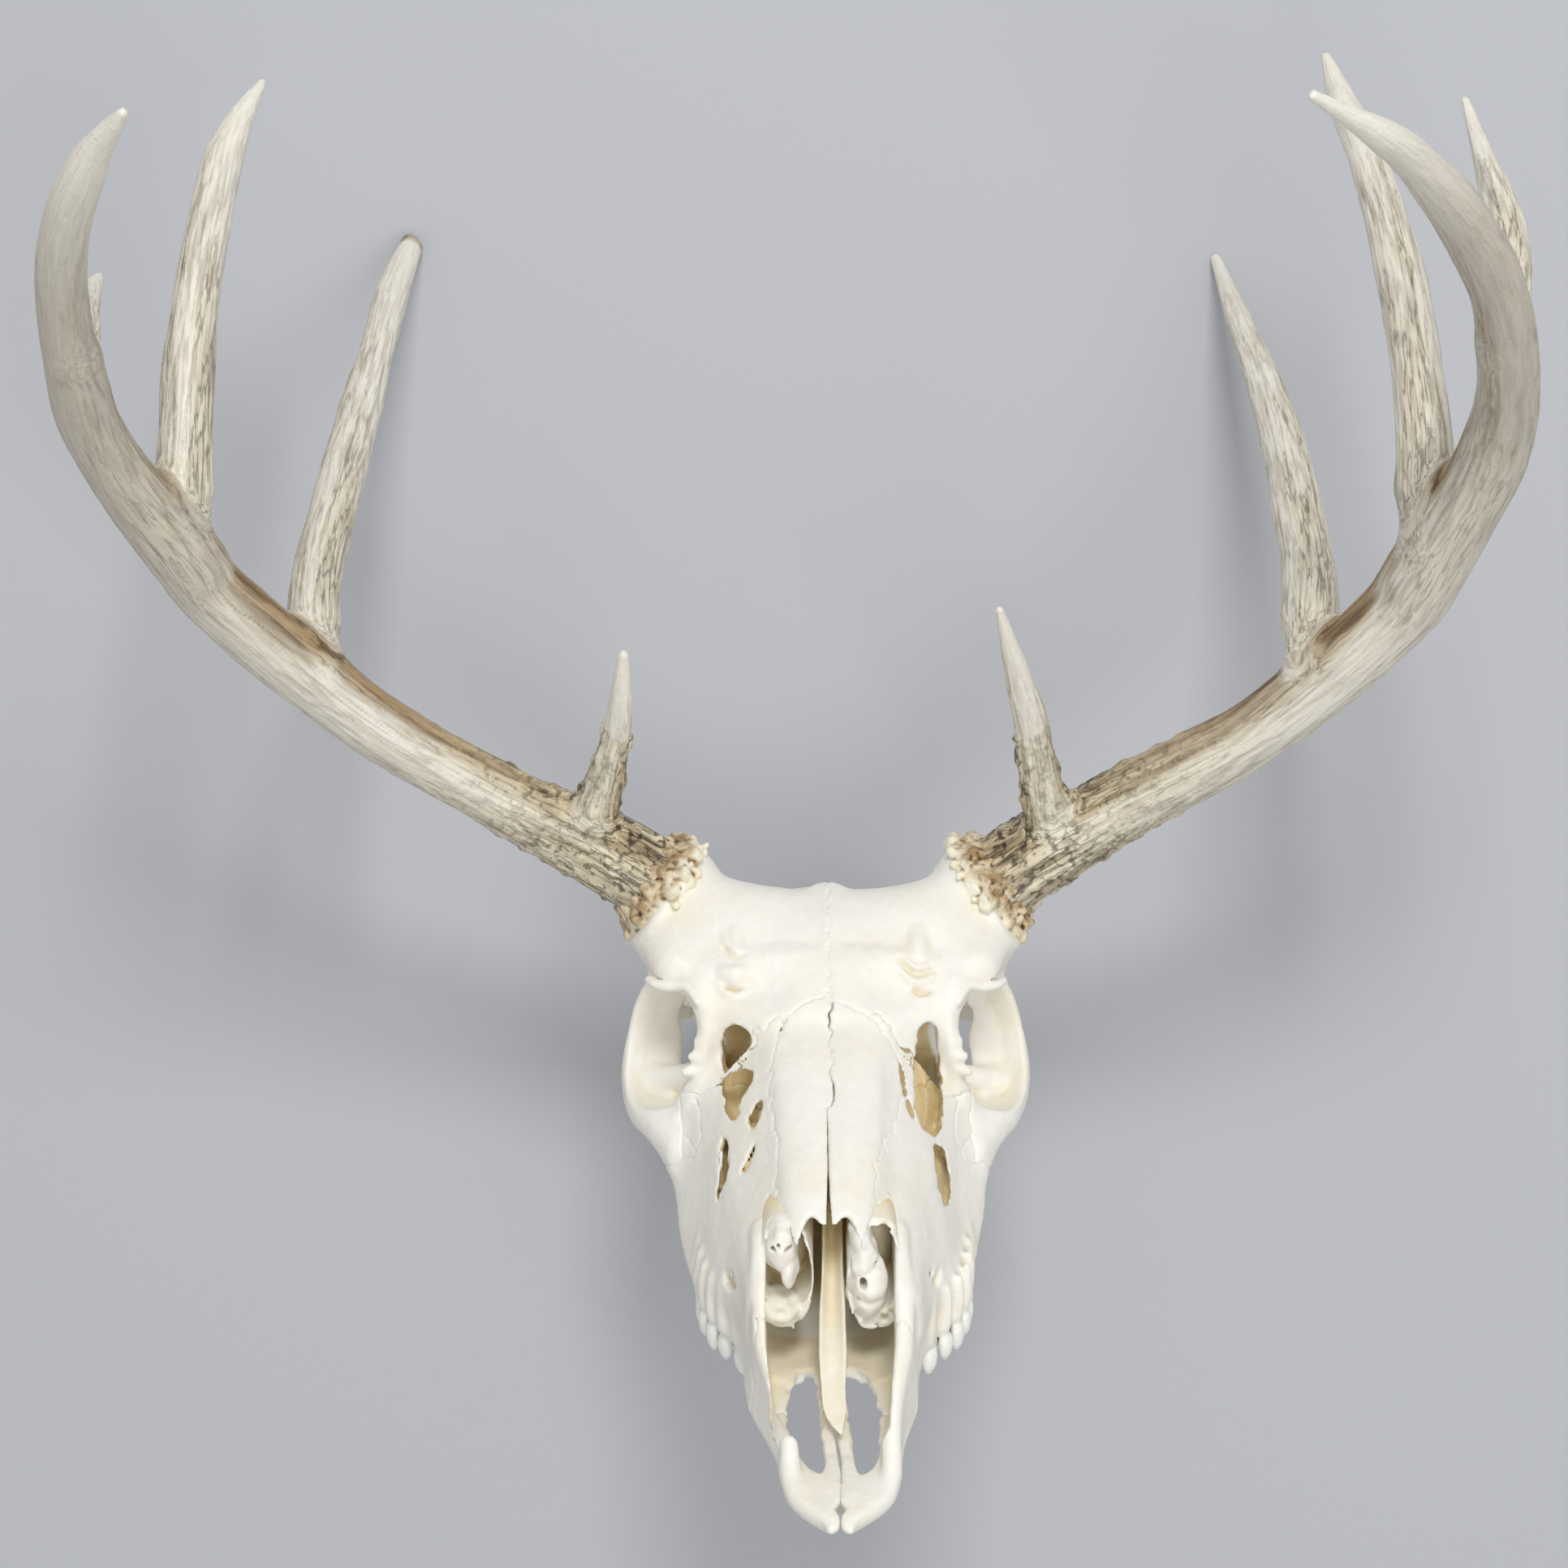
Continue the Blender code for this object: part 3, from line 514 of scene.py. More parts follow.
orbit = {
    "centre": (45.5, 163, 56),
    "radii": (21.6, 19.6),  # upward and along
    "facing": (0.9, -0.3, 0.32),
    "thickness": 1.7,  # half the rim's
    # half the rim's depth, and how far it lies outward: midway, and the change towards the back
    "depth": (6.0, 2.5),
    "outward": (-4.2, 1.3),
    "taper": 0.42,  # how fast the socket narrows inward
    "floor": 15,  # how deep the socket goes
    # the orbit's inner edge, and the knobs on it
    "innerEdge": (
        (39, 149, 49, 2.6), (36.4, 148.5, 58, 2.4), (34.6, 150, 66, 2.2), (34, 153, 71, 2.4),
        (36, 159, 77, 2.6),
    ),
    "knobs": ((39.6, 144.6, 58), (37.9, 146.4, 62), (36.2, 148.4, 65.5)),
    "partition": ((32, 166, 44, 5.4), (41, 168, 41.6, 3.8), (50, 171, 38.6, 3.8)),
    "ledge": ((46.5, 166, 36, 2.6), (50, 169, 35, 3.6), (54, 174, 36, 3.8)),
}


def fromOrbit(x, y, z, side):
    # How far outward, upward and backward from the socket's middle, along its own three ways
    facing = np.array(orbit["facing"]) * (side, 1, 1)
    facing /= np.linalg.norm(facing)
    up = np.array((0, 0, 1)) - facing * facing[2]
    up /= np.linalg.norm(up)
    back = np.cross(up, facing) * side
    x, y, z = x - orbit["centre"][0] * side, y - orbit["centre"][1], z - orbit["centre"][2]
    return [x * way[0] + y * way[1] + z * way[2] for way in (facing, up, back)]


def orbitRim(side):
    # A ring whose section is a thin band, deep along the way that the eye faces, and deepest at the back
    def distance(x, y, z):
        outward, rise, run = fromOrbit(x, y, z, side)
        across = (np.hypot(rise / orbit["radii"][0], run / orbit["radii"][1]) - 1) * sum(orbit["radii"]) / 2
        behind = np.clip(run / orbit["radii"][1], -1, 1)
        half = orbit["depth"][0] + orbit["depth"][1] * behind
        deep = (outward - orbit["outward"][0] - orbit["outward"][1] * behind) / half
        across = across + orbit["taper"] * np.clip(-outward - 1, 0, 12)
        return softMax(np.abs(across) - orbit["thickness"], (np.abs(deep) - 1) * half, 1.2)

    centre = np.array(orbit["centre"]) * (side, 1, 1)
    return centre - 27, centre + 27, distance


def orbitHollow(side):
    # The socket: an oval shaft along the way that the eye faces, with a rounded floor
    def distance(x, y, z):
        outward, rise, run = fromOrbit(x, y, z, side)
        inset = orbit["thickness"] + 0.3
        up, along = orbit["radii"][0] - inset, orbit["radii"][1] - inset
        wall = (np.hypot(rise / up, run / along) - 1) * (up + along) / 2
        wall = wall + orbit["taper"] * np.clip(-outward - 1, 0, 12)
        return softMax(wall, -outward - orbit["floor"], 12)

    centre = np.array(orbit["centre"]) * (side, 1, 1)
    return centre - 27, centre + 27, distance


nose = {
    # y, how far the snout leans to the animal's left there
    "lean": ((0, 1.7), (8, 1.8), (22, 2.2), (31, 2.0), (38, 1.4), (45, 1.0), (55, 0.6), (70, 0), (90, 0)),
    # x out from the leaning middle, y of the front edge of the plate under it
    "front": (
        (0, 7.4), (0.8, 5.6), (2.5, 4.4), (5, 4.9), (7.5, 6.6), (9.6, 9.2), (12.9, 13.3), (15.4, 21),
        (16.6, 31),
    ),
    # y, half-width of the snout
    "outer": (
        (0, 5), (6, 6.2), (9.5, 9.6), (13.5, 12.9), (21, 15.4), (31, 16.6), (38, 18.1), (45, 20.3),
        (51, 22.2), (60, 23.2), (84, 23.4),
    ),
    "rim": (
        (0, 9.5), (8, 11.5), (20, 14.5), (30, 20.5), (40, 27), (54, 35), (64, 42.5), (74, 47.5), (84, 50),
    ),
    # y, height of the plate's middle, half its thickness
    "plate": ((0, 10.6, 1.9), (8, 10.6, 2.7), (20, 10.6, 2.4), (30, 10.2, 1.5), (72, 10.5, 1.5)),
    # the slit each side of the middle: x out from the leaning middle, y
    "slit": (
        (3.7, 66), (3.6, 50), (3.8, 35), (3.9, 27), (5.1, 22.8), (7.5, 25), (10, 31.5), (11.4, 38.5),
        (12.3, 46), (11.8, 56), (9.9, 63.5), (7, 67),
    ),
}


def leanAt(y):
    return tableAt(nose["lean"], y)


def noseWall(side):
    # The upright edge of each premaxilla: in each slice a bar from the plate's edge up to the rim
    def distance(x, y, z):
        out, top = tableAt(nose["outer"], y), tableAt(nose["rim"], y)
        x = (x - leanAt(y)) * side
        radius = np.interp(y, (0, 20, 40, 60), (2.0, 2.3, 2.9, 3.1))
        startX, startZ = out - radius - 0.2, 10.5
        wayX, wayZ = -0.06 * (top - 12), np.maximum(top - radius, 10.6) - startZ
        share = np.clip(((x - startX) * wayX + (z - startZ) * wayZ) / (wayX**2 + wayZ**2), 0, 1)
        gap = np.hypot(x - startX - share * wayX, z - startZ - share * wayZ) - radius
        return softMax(gap, np.maximum(5 - y, y - 84), 3)

    return (min(3 * side, 28 * side), 0, 6), (max(3 * side, 28 * side), 84, 52), distance


def nosePlate():
    # The flat of the premaxillae and the front palate: thin in z, its front edge a table over x that slopes
    # back towards the underside
    def distance(x, y, z):
        across = np.abs(x - leanAt(y))
        ahead = (tableAt(nose["front"], across) + (8 - z) * 1.1 - y) * 0.65
        height, half = np.moveaxis(tableAt(nose["plate"], y), -1, 0)
        edge = softMax(across - tableAt(nose["outer"], y) + 1.5, y - 72, 2)
        return softMax(softMax(np.abs(z - height) - half, ahead, 2.5), edge, 1)

    return (-24, -2, 5), (25, 72, 16), distance


def palateSlit(side):
    # The long hole each side of the middle, its rear half ragged
    outline = smoothLoop(nose["slit"])

    def distance(x, y, z):
        flat = outlineDistance((x - leanAt(y)) * side, y, outline)
        return jagged(flat, x, y, z, 2.2, 0.7, 11 + side) * (y > 38) + flat * (y <= 38)

    return (min(2 * side, 15 * side), 20, 3), (max(2 * side, 15 * side) + 2, 69, 13.4), distance


cavity = {
    "halfWidth": ((30, 14.5), (60, 17), (75, 17), (95, 15.5), (112, 10), (118, 8)),
    "floor": ((30, 12), (60, 12.2), (75, 12.6), (95, 17), (112, 27), (118, 30)),
    "roofDepth": ((60, 0.9), (72, 1.0), (78, 1.6), (88, 3.4), (120, 3.6)),  # y, thickness of the nasal bones
    # the front edge of the nasal bones and of the rims beside them: x out from the middle, y
    "roofEnds": (
        (0, 73), (1.6, 72.6), (3.4, 74.6), (4.8, 75.6), (6.2, 73.6), (7.6, 70), (8.6, 67.6), (9.6, 70),
        (11, 75.5), (12.6, 79.5), (13.8, 76), (15.2, 71.5), (17, 67), (18.5, 61), (24, 50),
    ),
}


def nasalCavity():
    def distance(x, y, z):
        across = np.abs(x + 0.9 * (y < 90) - 0.4)
        half = tableAt(cavity["halfWidth"], y)
        bottom = tableAt(cavity["floor"], y)
        roof = np.interp(y, [row[0] for row in face["rows"]], [row[1] for row in face["rows"]])
        under = roof - 0.3 - tableAt(cavity["roofDepth"], y) - 0.02 * across**2
        ahead = (y - tableAt(cavity["roofEnds"], across)) * 0.8
        lid = softMin(z - under, ahead, 0.8)  # open upward ahead of the nasal bones
        walls = softMax(np.abs(x) - half, bottom - z, 6)
        return softMax(softMax(walls, lid, 1.2), np.maximum(30 - y, y - 117), 3)

    return (-19, 28, 10), (19, 118, 74), distance


# Openings in the thin bone between the nasal bones and the cheeks: places round each edge, on the surface
openings = {
    "right": (
        (
            (-29.6, 149.5, 68), (-25.5, 149.5, 70.5), (-22, 145.5, 70), (-22.4, 141, 67),
            (-24.4, 139.5, 63.5), (-28.8, 140.6, 59.6),
        ),
        (
            (-28.6, 139.5, 58.5), (-24.2, 138.6, 62), (-21.2, 133.5, 63.5), (-23.5, 132.5, 57.5),
            (-26.6, 126.5, 53), (-29, 134, 56),
        ),
        ((-17.9, 122.3, 63), (-19, 117, 60), (-21, 114.6, 57), (-21.5, 119, 58.5)),
        ((-29, 121, 50.5), (-27.4, 116, 50.6), (-27.5, 110, 48), (-30.4, 106.5, 39.5), (-30, 113, 45.7)),
        ((-20, 109.5, 56.4), (-20.4, 106, 54.8), (-23.8, 104, 50), (-21.6, 107.6, 54)),
        ((-12.3, 145, 75.4), (-12.4, 141, 74), (-13.4, 138.4, 72.4), (-13.3, 142.5, 74)),
    ),
    "left": (
        (
            (27, 149.5, 70), (31, 150.9, 68.9), (31.4, 146, 62), (32.2, 139, 54.5), (31.6, 128, 50.5),
            (29.6, 121.5, 50.4), (26.4, 122.5, 53.5), (24.6, 130, 55), (24.3, 137, 60), (25.2, 143, 66),
        ),
        (
            (29, 118, 49.5), (31.6, 121.5, 47), (33.4, 118, 42.5), (33.6, 111, 38), (32.4, 107, 37),
            (30.6, 108.5, 41),
        ),
        ((20.2, 133, 65), (21.8, 128, 61), (24, 120.8, 55.8), (21.6, 124.5, 60)),
    ),
    "depth": (9, 4.5),  # the second ahead of y 122
    # the hollows behind them: centre, radii, thickness of the bone over them
    "sinuses": (((25, 139, 58), (6.4, 14, 14), 1.3), ((30, 110, 44), (3.6, 8, 5), 1.3)),
    # across the upper right one
    "strut": ((-29.6, 139.8, 58.6, 0.8), (-25.5, 140.4, 63.4, 0.8), (-21.4, 141.8, 67.4, 0.9)),
}


def opening(corners):
    # The outline is tested on the plane that faces up from the resting skull
    corners = smoothLoop(corners)
    cosine, sine = math.cos(lie["pitch"]), math.sin(lie["pitch"])
    flat = np.stack([corners[:, 0], corners[:, 1] * cosine + corners[:, 2] * sine], axis=1)

    def distance(x, y, z):
        edge = outlineDistance(x, y * cosine + z * sine, flat)
        return jagged(edge, x, y, z, 2.4, 0.45, 13)

    return corners.min(axis=0) - (2, 14, 14), corners.max(axis=0) + (2, 14, 14), distance


# The nerve's way out on each cheek: out and back along a short shaft that opens forward, with its radii
nerveHoles = {
    "right": ((28.4, 73, 36.8, 1.3), (28.2, 84, 31.3, 1.6), (26.6, 84, 28.5, 1.8), (26.6, 73, 33.8, 1.6)),
    "left": ((31.6, 74, 37.8, 1.5), (31.4, 85, 32.4, 1.8), (29.6, 85, 28.8, 2.1), (29.6, 74, 34, 1.9)),
}

# The rest of the skull: balls with their centre and radii, and rods as rows of x, y, z and radius
base = {
    "braincase": ((0, 222, 47), (34, 43, 26), -24),
    "backOfHead": ((0, 249, 36), (30, 15, 21)),
    "napeCrest": (
        (-28, 250, 36, 3), (-20, 259, 46, 3.6), (0, 262, 50, 4.4), (20, 259, 46, 3.6), (28, 250, 36, 3),
    ),
    "keel": ((0, 266, 17, 7), (0, 240, 21, 8), (0, 205, 27, 7), (0, 170, 38, 7)),
    "core": ((0, 140, 50, 15), (0, 170, 56, 14), (0, 205, 56, 19)),
    "bump": ((0.6, 194, 89.4), (5.5, 4.5, 2.8)),  # at the top of the forehead
    "midRidge": ((0.7, 191, 90.6, 1.4), (0.7, 178, 89.6, 1.2), (0.7, 168, 86.6, 1)),
    # these on both sides
    "innerBar": ((4.5, 12, 10.5, 1.8), (2.6, 20, 10.5, 2.3), (2.2, 45, 10.5, 1.9), (2.6, 68, 10.5, 2.4)),
    "arch": (
        (44, 142, 34, 5), (50, 151, 35.5, 4.8), (54.6, 160, 36.5, 5), (56.2, 174, 39, 5.6),
        (53.5, 190, 42, 6.5), (47, 208, 43, 6.5), (34, 220, 40, 7),
    ),
    "pedicle": {"centre": (47.8, 166.3, 98), "axis": (0.81, 0.56, 0.17), "root": (26, 187, 76)},
    "condyle": ((13, 267.6, 25), (8.5, 8.6, 12)),
    "earBulb": ((18, 235, 20), (8, 12, 9)),
    "behindEar": ((30, 237, 33), (9, 12, 12)),
    "neckSpur": ((25, 248, 32, 8), (25, 257, 18, 6), (25, 263.2, 4.2, 3.4)),
    "sideCore": ((16, 145, 47, 12), (19, 165, 50, 13), (17, 190, 53, 14)),
    "palateWing": ((13, 148, 22, 9), (13, 168, 24, 9), (12, 190, 30, 6)),
    "socketWall": ((23, 160, 66), (12, 12, 12)),
    "browRidge": ((52, 192, 78, 6), (48.5, 181, 79.5, 5), (44.5, 168, 79, 4.5)),
    # these are cut away: over the eyes, for the spine, for the nose's rear opening and at the temples
    "browHollow": ((24, 150.5, 86.5), (15, 9, 9)),
    "spineHole": ((0, 262, 33), (9, 26, 8.5)),
    "rearNose": ((0, 166, 24), (8, 26, 9), 10),
    "temple": ((40, 199, 54), (7.5, 19, 18)),
}


def mirrored(rows, side):
    return [(row[0] * side, *row[1:]) for row in rows]


def pedicle(side):
    # The stump that carries the antler, from the forehead to just past the burr's middle
    centre, axis, root = (np.array(v) for v in base["pedicle"].values())
    rows = [(*root, 15), (*(root * 0.45 + np.array(restToSkull(centre)) * 0.55), 13)]
    rows += [(*restToSkull(centre - axis * 5), 14.4), (*restToSkull(centre + axis * 1), 16.6)]
    return rod(mirrored(rows, side), step=3)


def burrSide(side):
    # All that lies past the burr's middle plane
    middle, axis, _ = (np.array(v) for v in base["pedicle"].values())
    centre = np.array(restToSkull(middle)) * (side, 1, 1)
    axis = np.array(restToSkull(middle + axis)) * (side, 1, 1) - centre

    def distance(x, y, z):
        return 0.3 - ((x - centre[0]) * axis[0] + (y - centre[1]) * axis[1] + (z - centre[2]) * axis[2])

    return centre - 26, centre + 26, distance


teeth = {
    "row": (
        (76, 21.5), (80.3, 25.6), (85.4, 29.8), (90.6, 33.2), (96, 35.6), (107, 37), (120, 36.4),
        (135, 34.6), (148, 32),
    ),
    "shift": 1.8,  # both rows sit this far to the animal's left
    "lobes": (80, 85.6, 91, 96.5, 102.5, 108.5, 115, 121.5, 128.5, 135.5, 142),
    # height and radius from the root down to the point, and how far each leans out
    "crown": ((15, 1.6, -1.8), (11.5, 1.2, -0.4), (8, 2.6, 0.2), (4.4, 2.4, 0.3), (1.4, 0.7, 0)),
    "flatten": 0.62,
    "inner": (4.8, 1.5, 0.8),  # how far inward, back and up a lobe's inner half lies
    "uneven": 0.7,  # how much lower every other lobe reaches
}


def toothShapes(side):
    # Each lobe is a pointed leaf-shaped crown, flat across the row, with a blunt lobe on its inner side
    for index, y in enumerate(teeth["lobes"]):
        out = tableAt(teeth["row"], y) * side + teeth["shift"]
        slant = np.gradient(tableAt(teeth["row"], (y - 1, y, y + 1)))[1]
        across = (side, -slant, 0)
        drop = teeth["uneven"] * (index % 2)
        crown = [(out + lean * side, y, z + drop * (z < 5), r) for z, r, lean in teeth["crown"]]
        yield rod(crown, teeth["flatten"], across, 1.5), 0.4
        x, back = out - teeth["inner"][0] * side, y + teeth["inner"][1]
        inner = [(x, back, z + teeth["inner"][2] + drop * (z < 5), r + 1) for z, r, lean in teeth["crown"]]
        yield rod(inner, 0.8, across, 2), 1


def jugum(side, y):
    # The low swelling of the bone over a root
    out = tableAt(teeth["row"], y)
    rows = ((out - 0.2, y, 12, 1.9), (out + 0.6, y + 0.5, 17, 1.8), (out + 0.6, y + 1.5, 24, 1.2))
    return rod([(x * side + teeth["shift"], *rest) for x, *rest in rows])


brow = {
    # Places are x, y and the height over the uncut bone, with a radius
    "ridges": (
        ((26, 172.5, -1.6, 2.2), (25.9, 168.5, -1.2, 2.9), (25.9, 164.8, -1.4, 2.6)),
        (
            (20.8, 164.4, -0.3, 0.8), (22.6, 161.6, 0, 0.9), (26, 160.6, 0.1, 1.0), (29.6, 161.8, 0, 0.9),
            (31, 164, -0.3, 0.8),
        ),
        ((21, 160.6, -0.3, 0.9), (23.4, 158.2, 0.1, 1.1), (26.6, 157.4, 0.1, 1.2), (30, 159, -0.2, 0.9)),
        ((-29.3, 171, -0.4, 0.8), (-28.6, 168, 0, 1.1), (-26.8, 165.4, -0.3, 1.2)),
        ((-26.6, 172.5, -0.4, 0.8), (-26.2, 168.5, 0, 1.2), (-25.4, 165, -0.3, 1.4)),
        ((-29, 160.6, -1.2, 2.4), (-26.6, 159.6, -0.9, 3.2), (-24, 160.2, -1.2, 2.4)),
        ((-31, 157.6, -0.5, 0.9), (-28.5, 154.9, 0, 1.0), (-25.5, 154.2, -0.1, 1.0), (-23, 155, -0.6, 0.8)),
    ),
    "crest": (
        (51, 165.5, -0.3, 1.2), (48.9, 162.6, 0, 1.3), (44.6, 160.6, 0.2, 1.4), (40.4, 158.6, 0.1, 1.2),
        (37, 153, -0.3, 1.0),
    ),
    "grooves": (
        ((20.5, 162.2, 0.5, 0.7), (23.2, 160, 0.3, 0.8), (26.4, 159.3, 0.3, 0.8), (30, 160.5, 0.4, 0.7)),
        ((25, 155.7, -0.3, 0.9), (27, 155.2, -0.6, 1.1), (29, 155.5, -0.2, 0.9)),
        ((-29.2, 167, 0.3, 0.7), (-28, 164.6, 0.1, 0.9), (-25.6, 163.2, 0.1, 0.9), (-24.2, 163.6, 0.3, 0.7)),
        ((-28.4, 156.4, -0.2, 0.8), (-26.6, 155.8, -0.7, 1.1), (-24.8, 155.9, -0.3, 0.8)),
    ),
}


def addBrow(skull, blank):
    # The ridges and channels over the eyes, each laid on the uncut bone, whose height the blank field gives
    heights = np.arange(60, 100, 0.25)
    crests = [mirrored(brow["crest"], side) for side in (-1, 1)]
    for kind, paths in (("ridges", (*brow["ridges"], *crests)), ("grooves", brow["grooves"])):
        for rows in paths:
            placed = []
            for x, y, rise, radius in rows:
                column = blank.at(np.stack([0 * heights + x, 0 * heights + y, heights], axis=1))
                placed.append((x, y, heights[column < 0].max(initial=76) + rise, radius))
            if kind == "ridges":
                skull.add(rod(placed, step=1.5), 1.2)
            else:
                skull.cut(rod(placed, step=1.5), 1)


def buildSkull():
    skull = Field((-64, -3, -3), (64, 279, 106), fineness["skull"])
    skull.add(faceShape(), 1)
    skull.add(foreheadShape(), 7)
    skull.add(nosePlate(), 1)
    skull.add(ball(*base["braincase"]), 8)
    skull.add(ball(*base["backOfHead"]), 6)
    skull.add(rod(base["napeCrest"]), 5)
    skull.add(rod(base["keel"], 0.7, (0, 0, 1)), 5)
    skull.add(rod(base["core"]), 6)
    skull.add(ball(*base["bump"]), 3)
    skull.add(rod(base["midRidge"]), 3)
    for side in (-1, 1):
        skull.add(noseWall(side), 1.5)
        skull.add(rod([(x * side + leanAt(y), y, z, r) for x, y, z, r in base["innerBar"]]), 1)
        skull.add(orbitRim(side), 4)
        skull.add(rod(mirrored(base["arch"], side), 0.5), 6)
        skull.add(pedicle(side), 12)
        skull.add(sideBall(*base["condyle"], side), 2)
        skull.add(sideBall(*base["earBulb"], side), 2)
        skull.add(sideBall(*base["behindEar"], side), 5)
        skull.add(rod(mirrored(base["neckSpur"], side), 0.6), 4)
        skull.add(rod(mirrored(base["sideCore"], side)), 4)
        skull.add(rod(mirrored(base["palateWing"], side), 0.3), 3)
        skull.add(sideBall(*base["socketWall"], side), 3)
        skull.add(rod(mirrored(orbit["innerEdge"], side), step=3), 5)
        for knob in orbit["knobs"]:
            skull.add(sideBall(knob, (2.8, 1.9, 1.6), side), 1)
        skull.add(rod(mirrored(base["browRidge"], side)), 9)
        skull.cut(sideBall(*base["browHollow"], side), 5)
        for y in teeth["lobes"][:8]:
            skull.add(jugum(side, y), 2)
    skull.soften(2)
    blank = skull.like(skull.values.copy())

    skull.cut(nasalCavity(), 1)
    for side in (-1, 1):
        skull.cut(burrSide(side), 1)
    skull.cut(ball(*base["spineHole"]), 2)
    skull.cut(ball(*base["rearNose"]), 3)
    for word, side in sides.items():
        skull.cut(palateSlit(side), 0.6)
        skull.cut(orbitHollow(side), 1)
        skull.add(rod(mirrored(orbit["partition"], side)), 3)
        skull.add(rod(mirrored(orbit["ledge"], side)), 2)
        skull.cut(sideBall(*base["temple"], side), 3)
        skull.cut(rod(mirrored(nerveHoles[word], side), step=2), 0.5)
        skull.cut(ball((23.4 * side + 0.5, 84, 32), (3.2, 5, 2.4)), 1)
        for centre, radii, shell in openings["sinuses"]:
            skull.cutUnder(sideBall(centre, radii, side), blank, shell, 30, 0.8)
        for corners in openings[word]:
            skull.cutUnder(opening(corners), blank, -6, openings["depth"][corners[0][1] < 122], 0.6)
    skull.add(rod(openings["strut"], step=2), 0.8)
    addBrow(skull, blank)
    for side in (-1, 1):
        for shape, soft in toothShapes(side):
            skull.add(shape, soft)
    print("skull field made")
    return skull, blank


turbinates = {
    # x out, z and half-width and half-height of the scroll's tube, thickness of its wall, its rear end
    "tube": (11.4, 39.2, 7.1, 14.6, 0.8, 96),
    # y of its lower front edge, the slope upward, and how it bends back near its top
    "front": (68.2, 0.12, 0.04),
    # spongy lumps in it: x out, y, z and radii
    "lumps": {
        "right": (
            ((13.2, 76, 47), (4.6, 9, 7.5)), ((11.2, 74, 41), (2.8, 7, 6)),
            ((13.6, 72, 30), (5.6, 8, 3.4)),
        ),
        "left": (
            ((8.6, 74, 45), (4.2, 8, 6)), ((10, 71.5, 38.5), (5.2, 7, 6.5)), ((9.8, 73, 33), (5.4, 8, 5)),
            ((8, 76, 50), (3.4, 8, 4)),
        ),
    },
    # holes in the lumps
    "holes": {
        "right": (
            ((15.2, 68, 49.5), (0.7, 8, 0.7)), ((13.8, 68, 50.6), (0.5, 8, 0.5)),
            ((11.2, 68, 49.4), (1.0, 8, 0.7)),
        ),
        "left": (
            ((8.6, 68, 40.6), (1.1, 9, 1.7)), ((11.8, 68, 44.2), (0.5, 7, 0.6)),
            ((7.4, 68, 35.8), (0.5, 7, 0.7)),
        ),
    },
}


def turbinate(word, side):
    # A scroll of thin bone: a tube with a ragged open front and a rolled lower lip, and spongy lumps in it
    outX, middleZ, halfWidth, halfHeight, wall, rear = turbinates["tube"]
    lowX, highX = sorted((3 * side, 20 * side))
    field = Field((lowX, 60, 20), (highX, 99, 56), fineness["detail"])
    front, slope, bend = turbinates["front"]

    def tube(x, y, z):
        # The section is round on its inner side and squarer on its outer, where it joins the wall of the nose
        across, up = (x - outX * side) * side / halfWidth, np.abs(z - middleZ) / halfHeight
        power = np.where(across > 0, 3.4, 2.2)
        ring = (np.abs(across) ** power + up**power + 1e-6) ** (1 / power)
        roll = ramp(-z, -35, 9)  # the lower wall thickens towards its lip
        skin = softMax((ring - 1) * halfWidth, (1 - ring) * halfWidth - wall - 3.6 * roll, 0.6)
        ahead = front + slope * (z - 25) + bend * np.maximum(z - 42, 0) ** 2
        ahead = jagged(ahead - y + 0 * x, x, y, z, 2.2, 1.6, 31 + side)
        return softMax(softMax(skin, ahead, 0.5), y - rear, 1)

    low, high = field.low, field.low + field.step * field.count
    field.add((low, high, tube), 0.3)
    field.add(ball((outX * side, 91, middleZ), (halfWidth - 0.5, 9, halfHeight - 1)), 1)
    for centre, radii in turbinates["lumps"][word]:
        lowest, highest, distance = sideBall(centre, radii, side)

        def rough(x, y, z, distance=distance):
            return jagged(distance(x, y, z), x, y, z, 3, 0.5, 35) + 0.1

        field.add((lowest, highest, rough), 0.7)
    for centre, radii in turbinates["holes"][word]:
        field.cut(sideBall(centre, radii, side), 0.4)
    return field


septum = {
    # y, half-width at the top, height of the top, depth of the trough, height of the keel
    "rows": (
        (35.8, 0.6, 14.6, 0, 13.8), (38.5, 2.0, 15.6, 0.2, 13.8), (41, 3.1, 16.6, 0.5, 13.8),
        (49.5, 3.7, 21, 1.0, 14), (57, 3.9, 25, 1.6, 14.2), (63, 3.9, 28, 2.4, 14.5),
        (71, 3.6, 31.6, 3.6, 15), (80, 3.2, 36.8, 4, 16), (90, 3.0, 43.5, 4, 18), (99, 2.8, 50, 4, 22),
    ),
    "middle": ((35.8, 2.9), (39, 1.6), (44, 0.9), (60, 0.55), (93, 0.8)),
}


def septumField():
    # A blade with a trough along its top: in each slice a wedge that widens upward, less a narrower one
    field = Field((-5, 33, 12), (7, 101, 53), fineness["detail"])

    def distance(x, y, z):
        half, top, deep, keel = np.moveaxis(tableAt(septum["rows"], y), -1, 0)
        out = np.abs(x - tableAt(septum["middle"], y))
        rise = ramp(z, keel, top - keel)
        solid = softMax(out - half * np.sqrt(0.06 + 0.94 * rise), np.maximum(z - top, keel - z), 1)
        inner = np.maximum(half - 1.1, 0.2) * np.sqrt(np.clip((z - top + deep) / (deep + 0.01), 0, 1))
        trough = np.maximum(out - inner, top - deep - z)
        return softMax(softMax(solid, -trough, 0.5), np.maximum(36 - y, y - 98), 1)

    field.add((field.low, field.low + field.step * field.count, distance), 0.1)
    return field


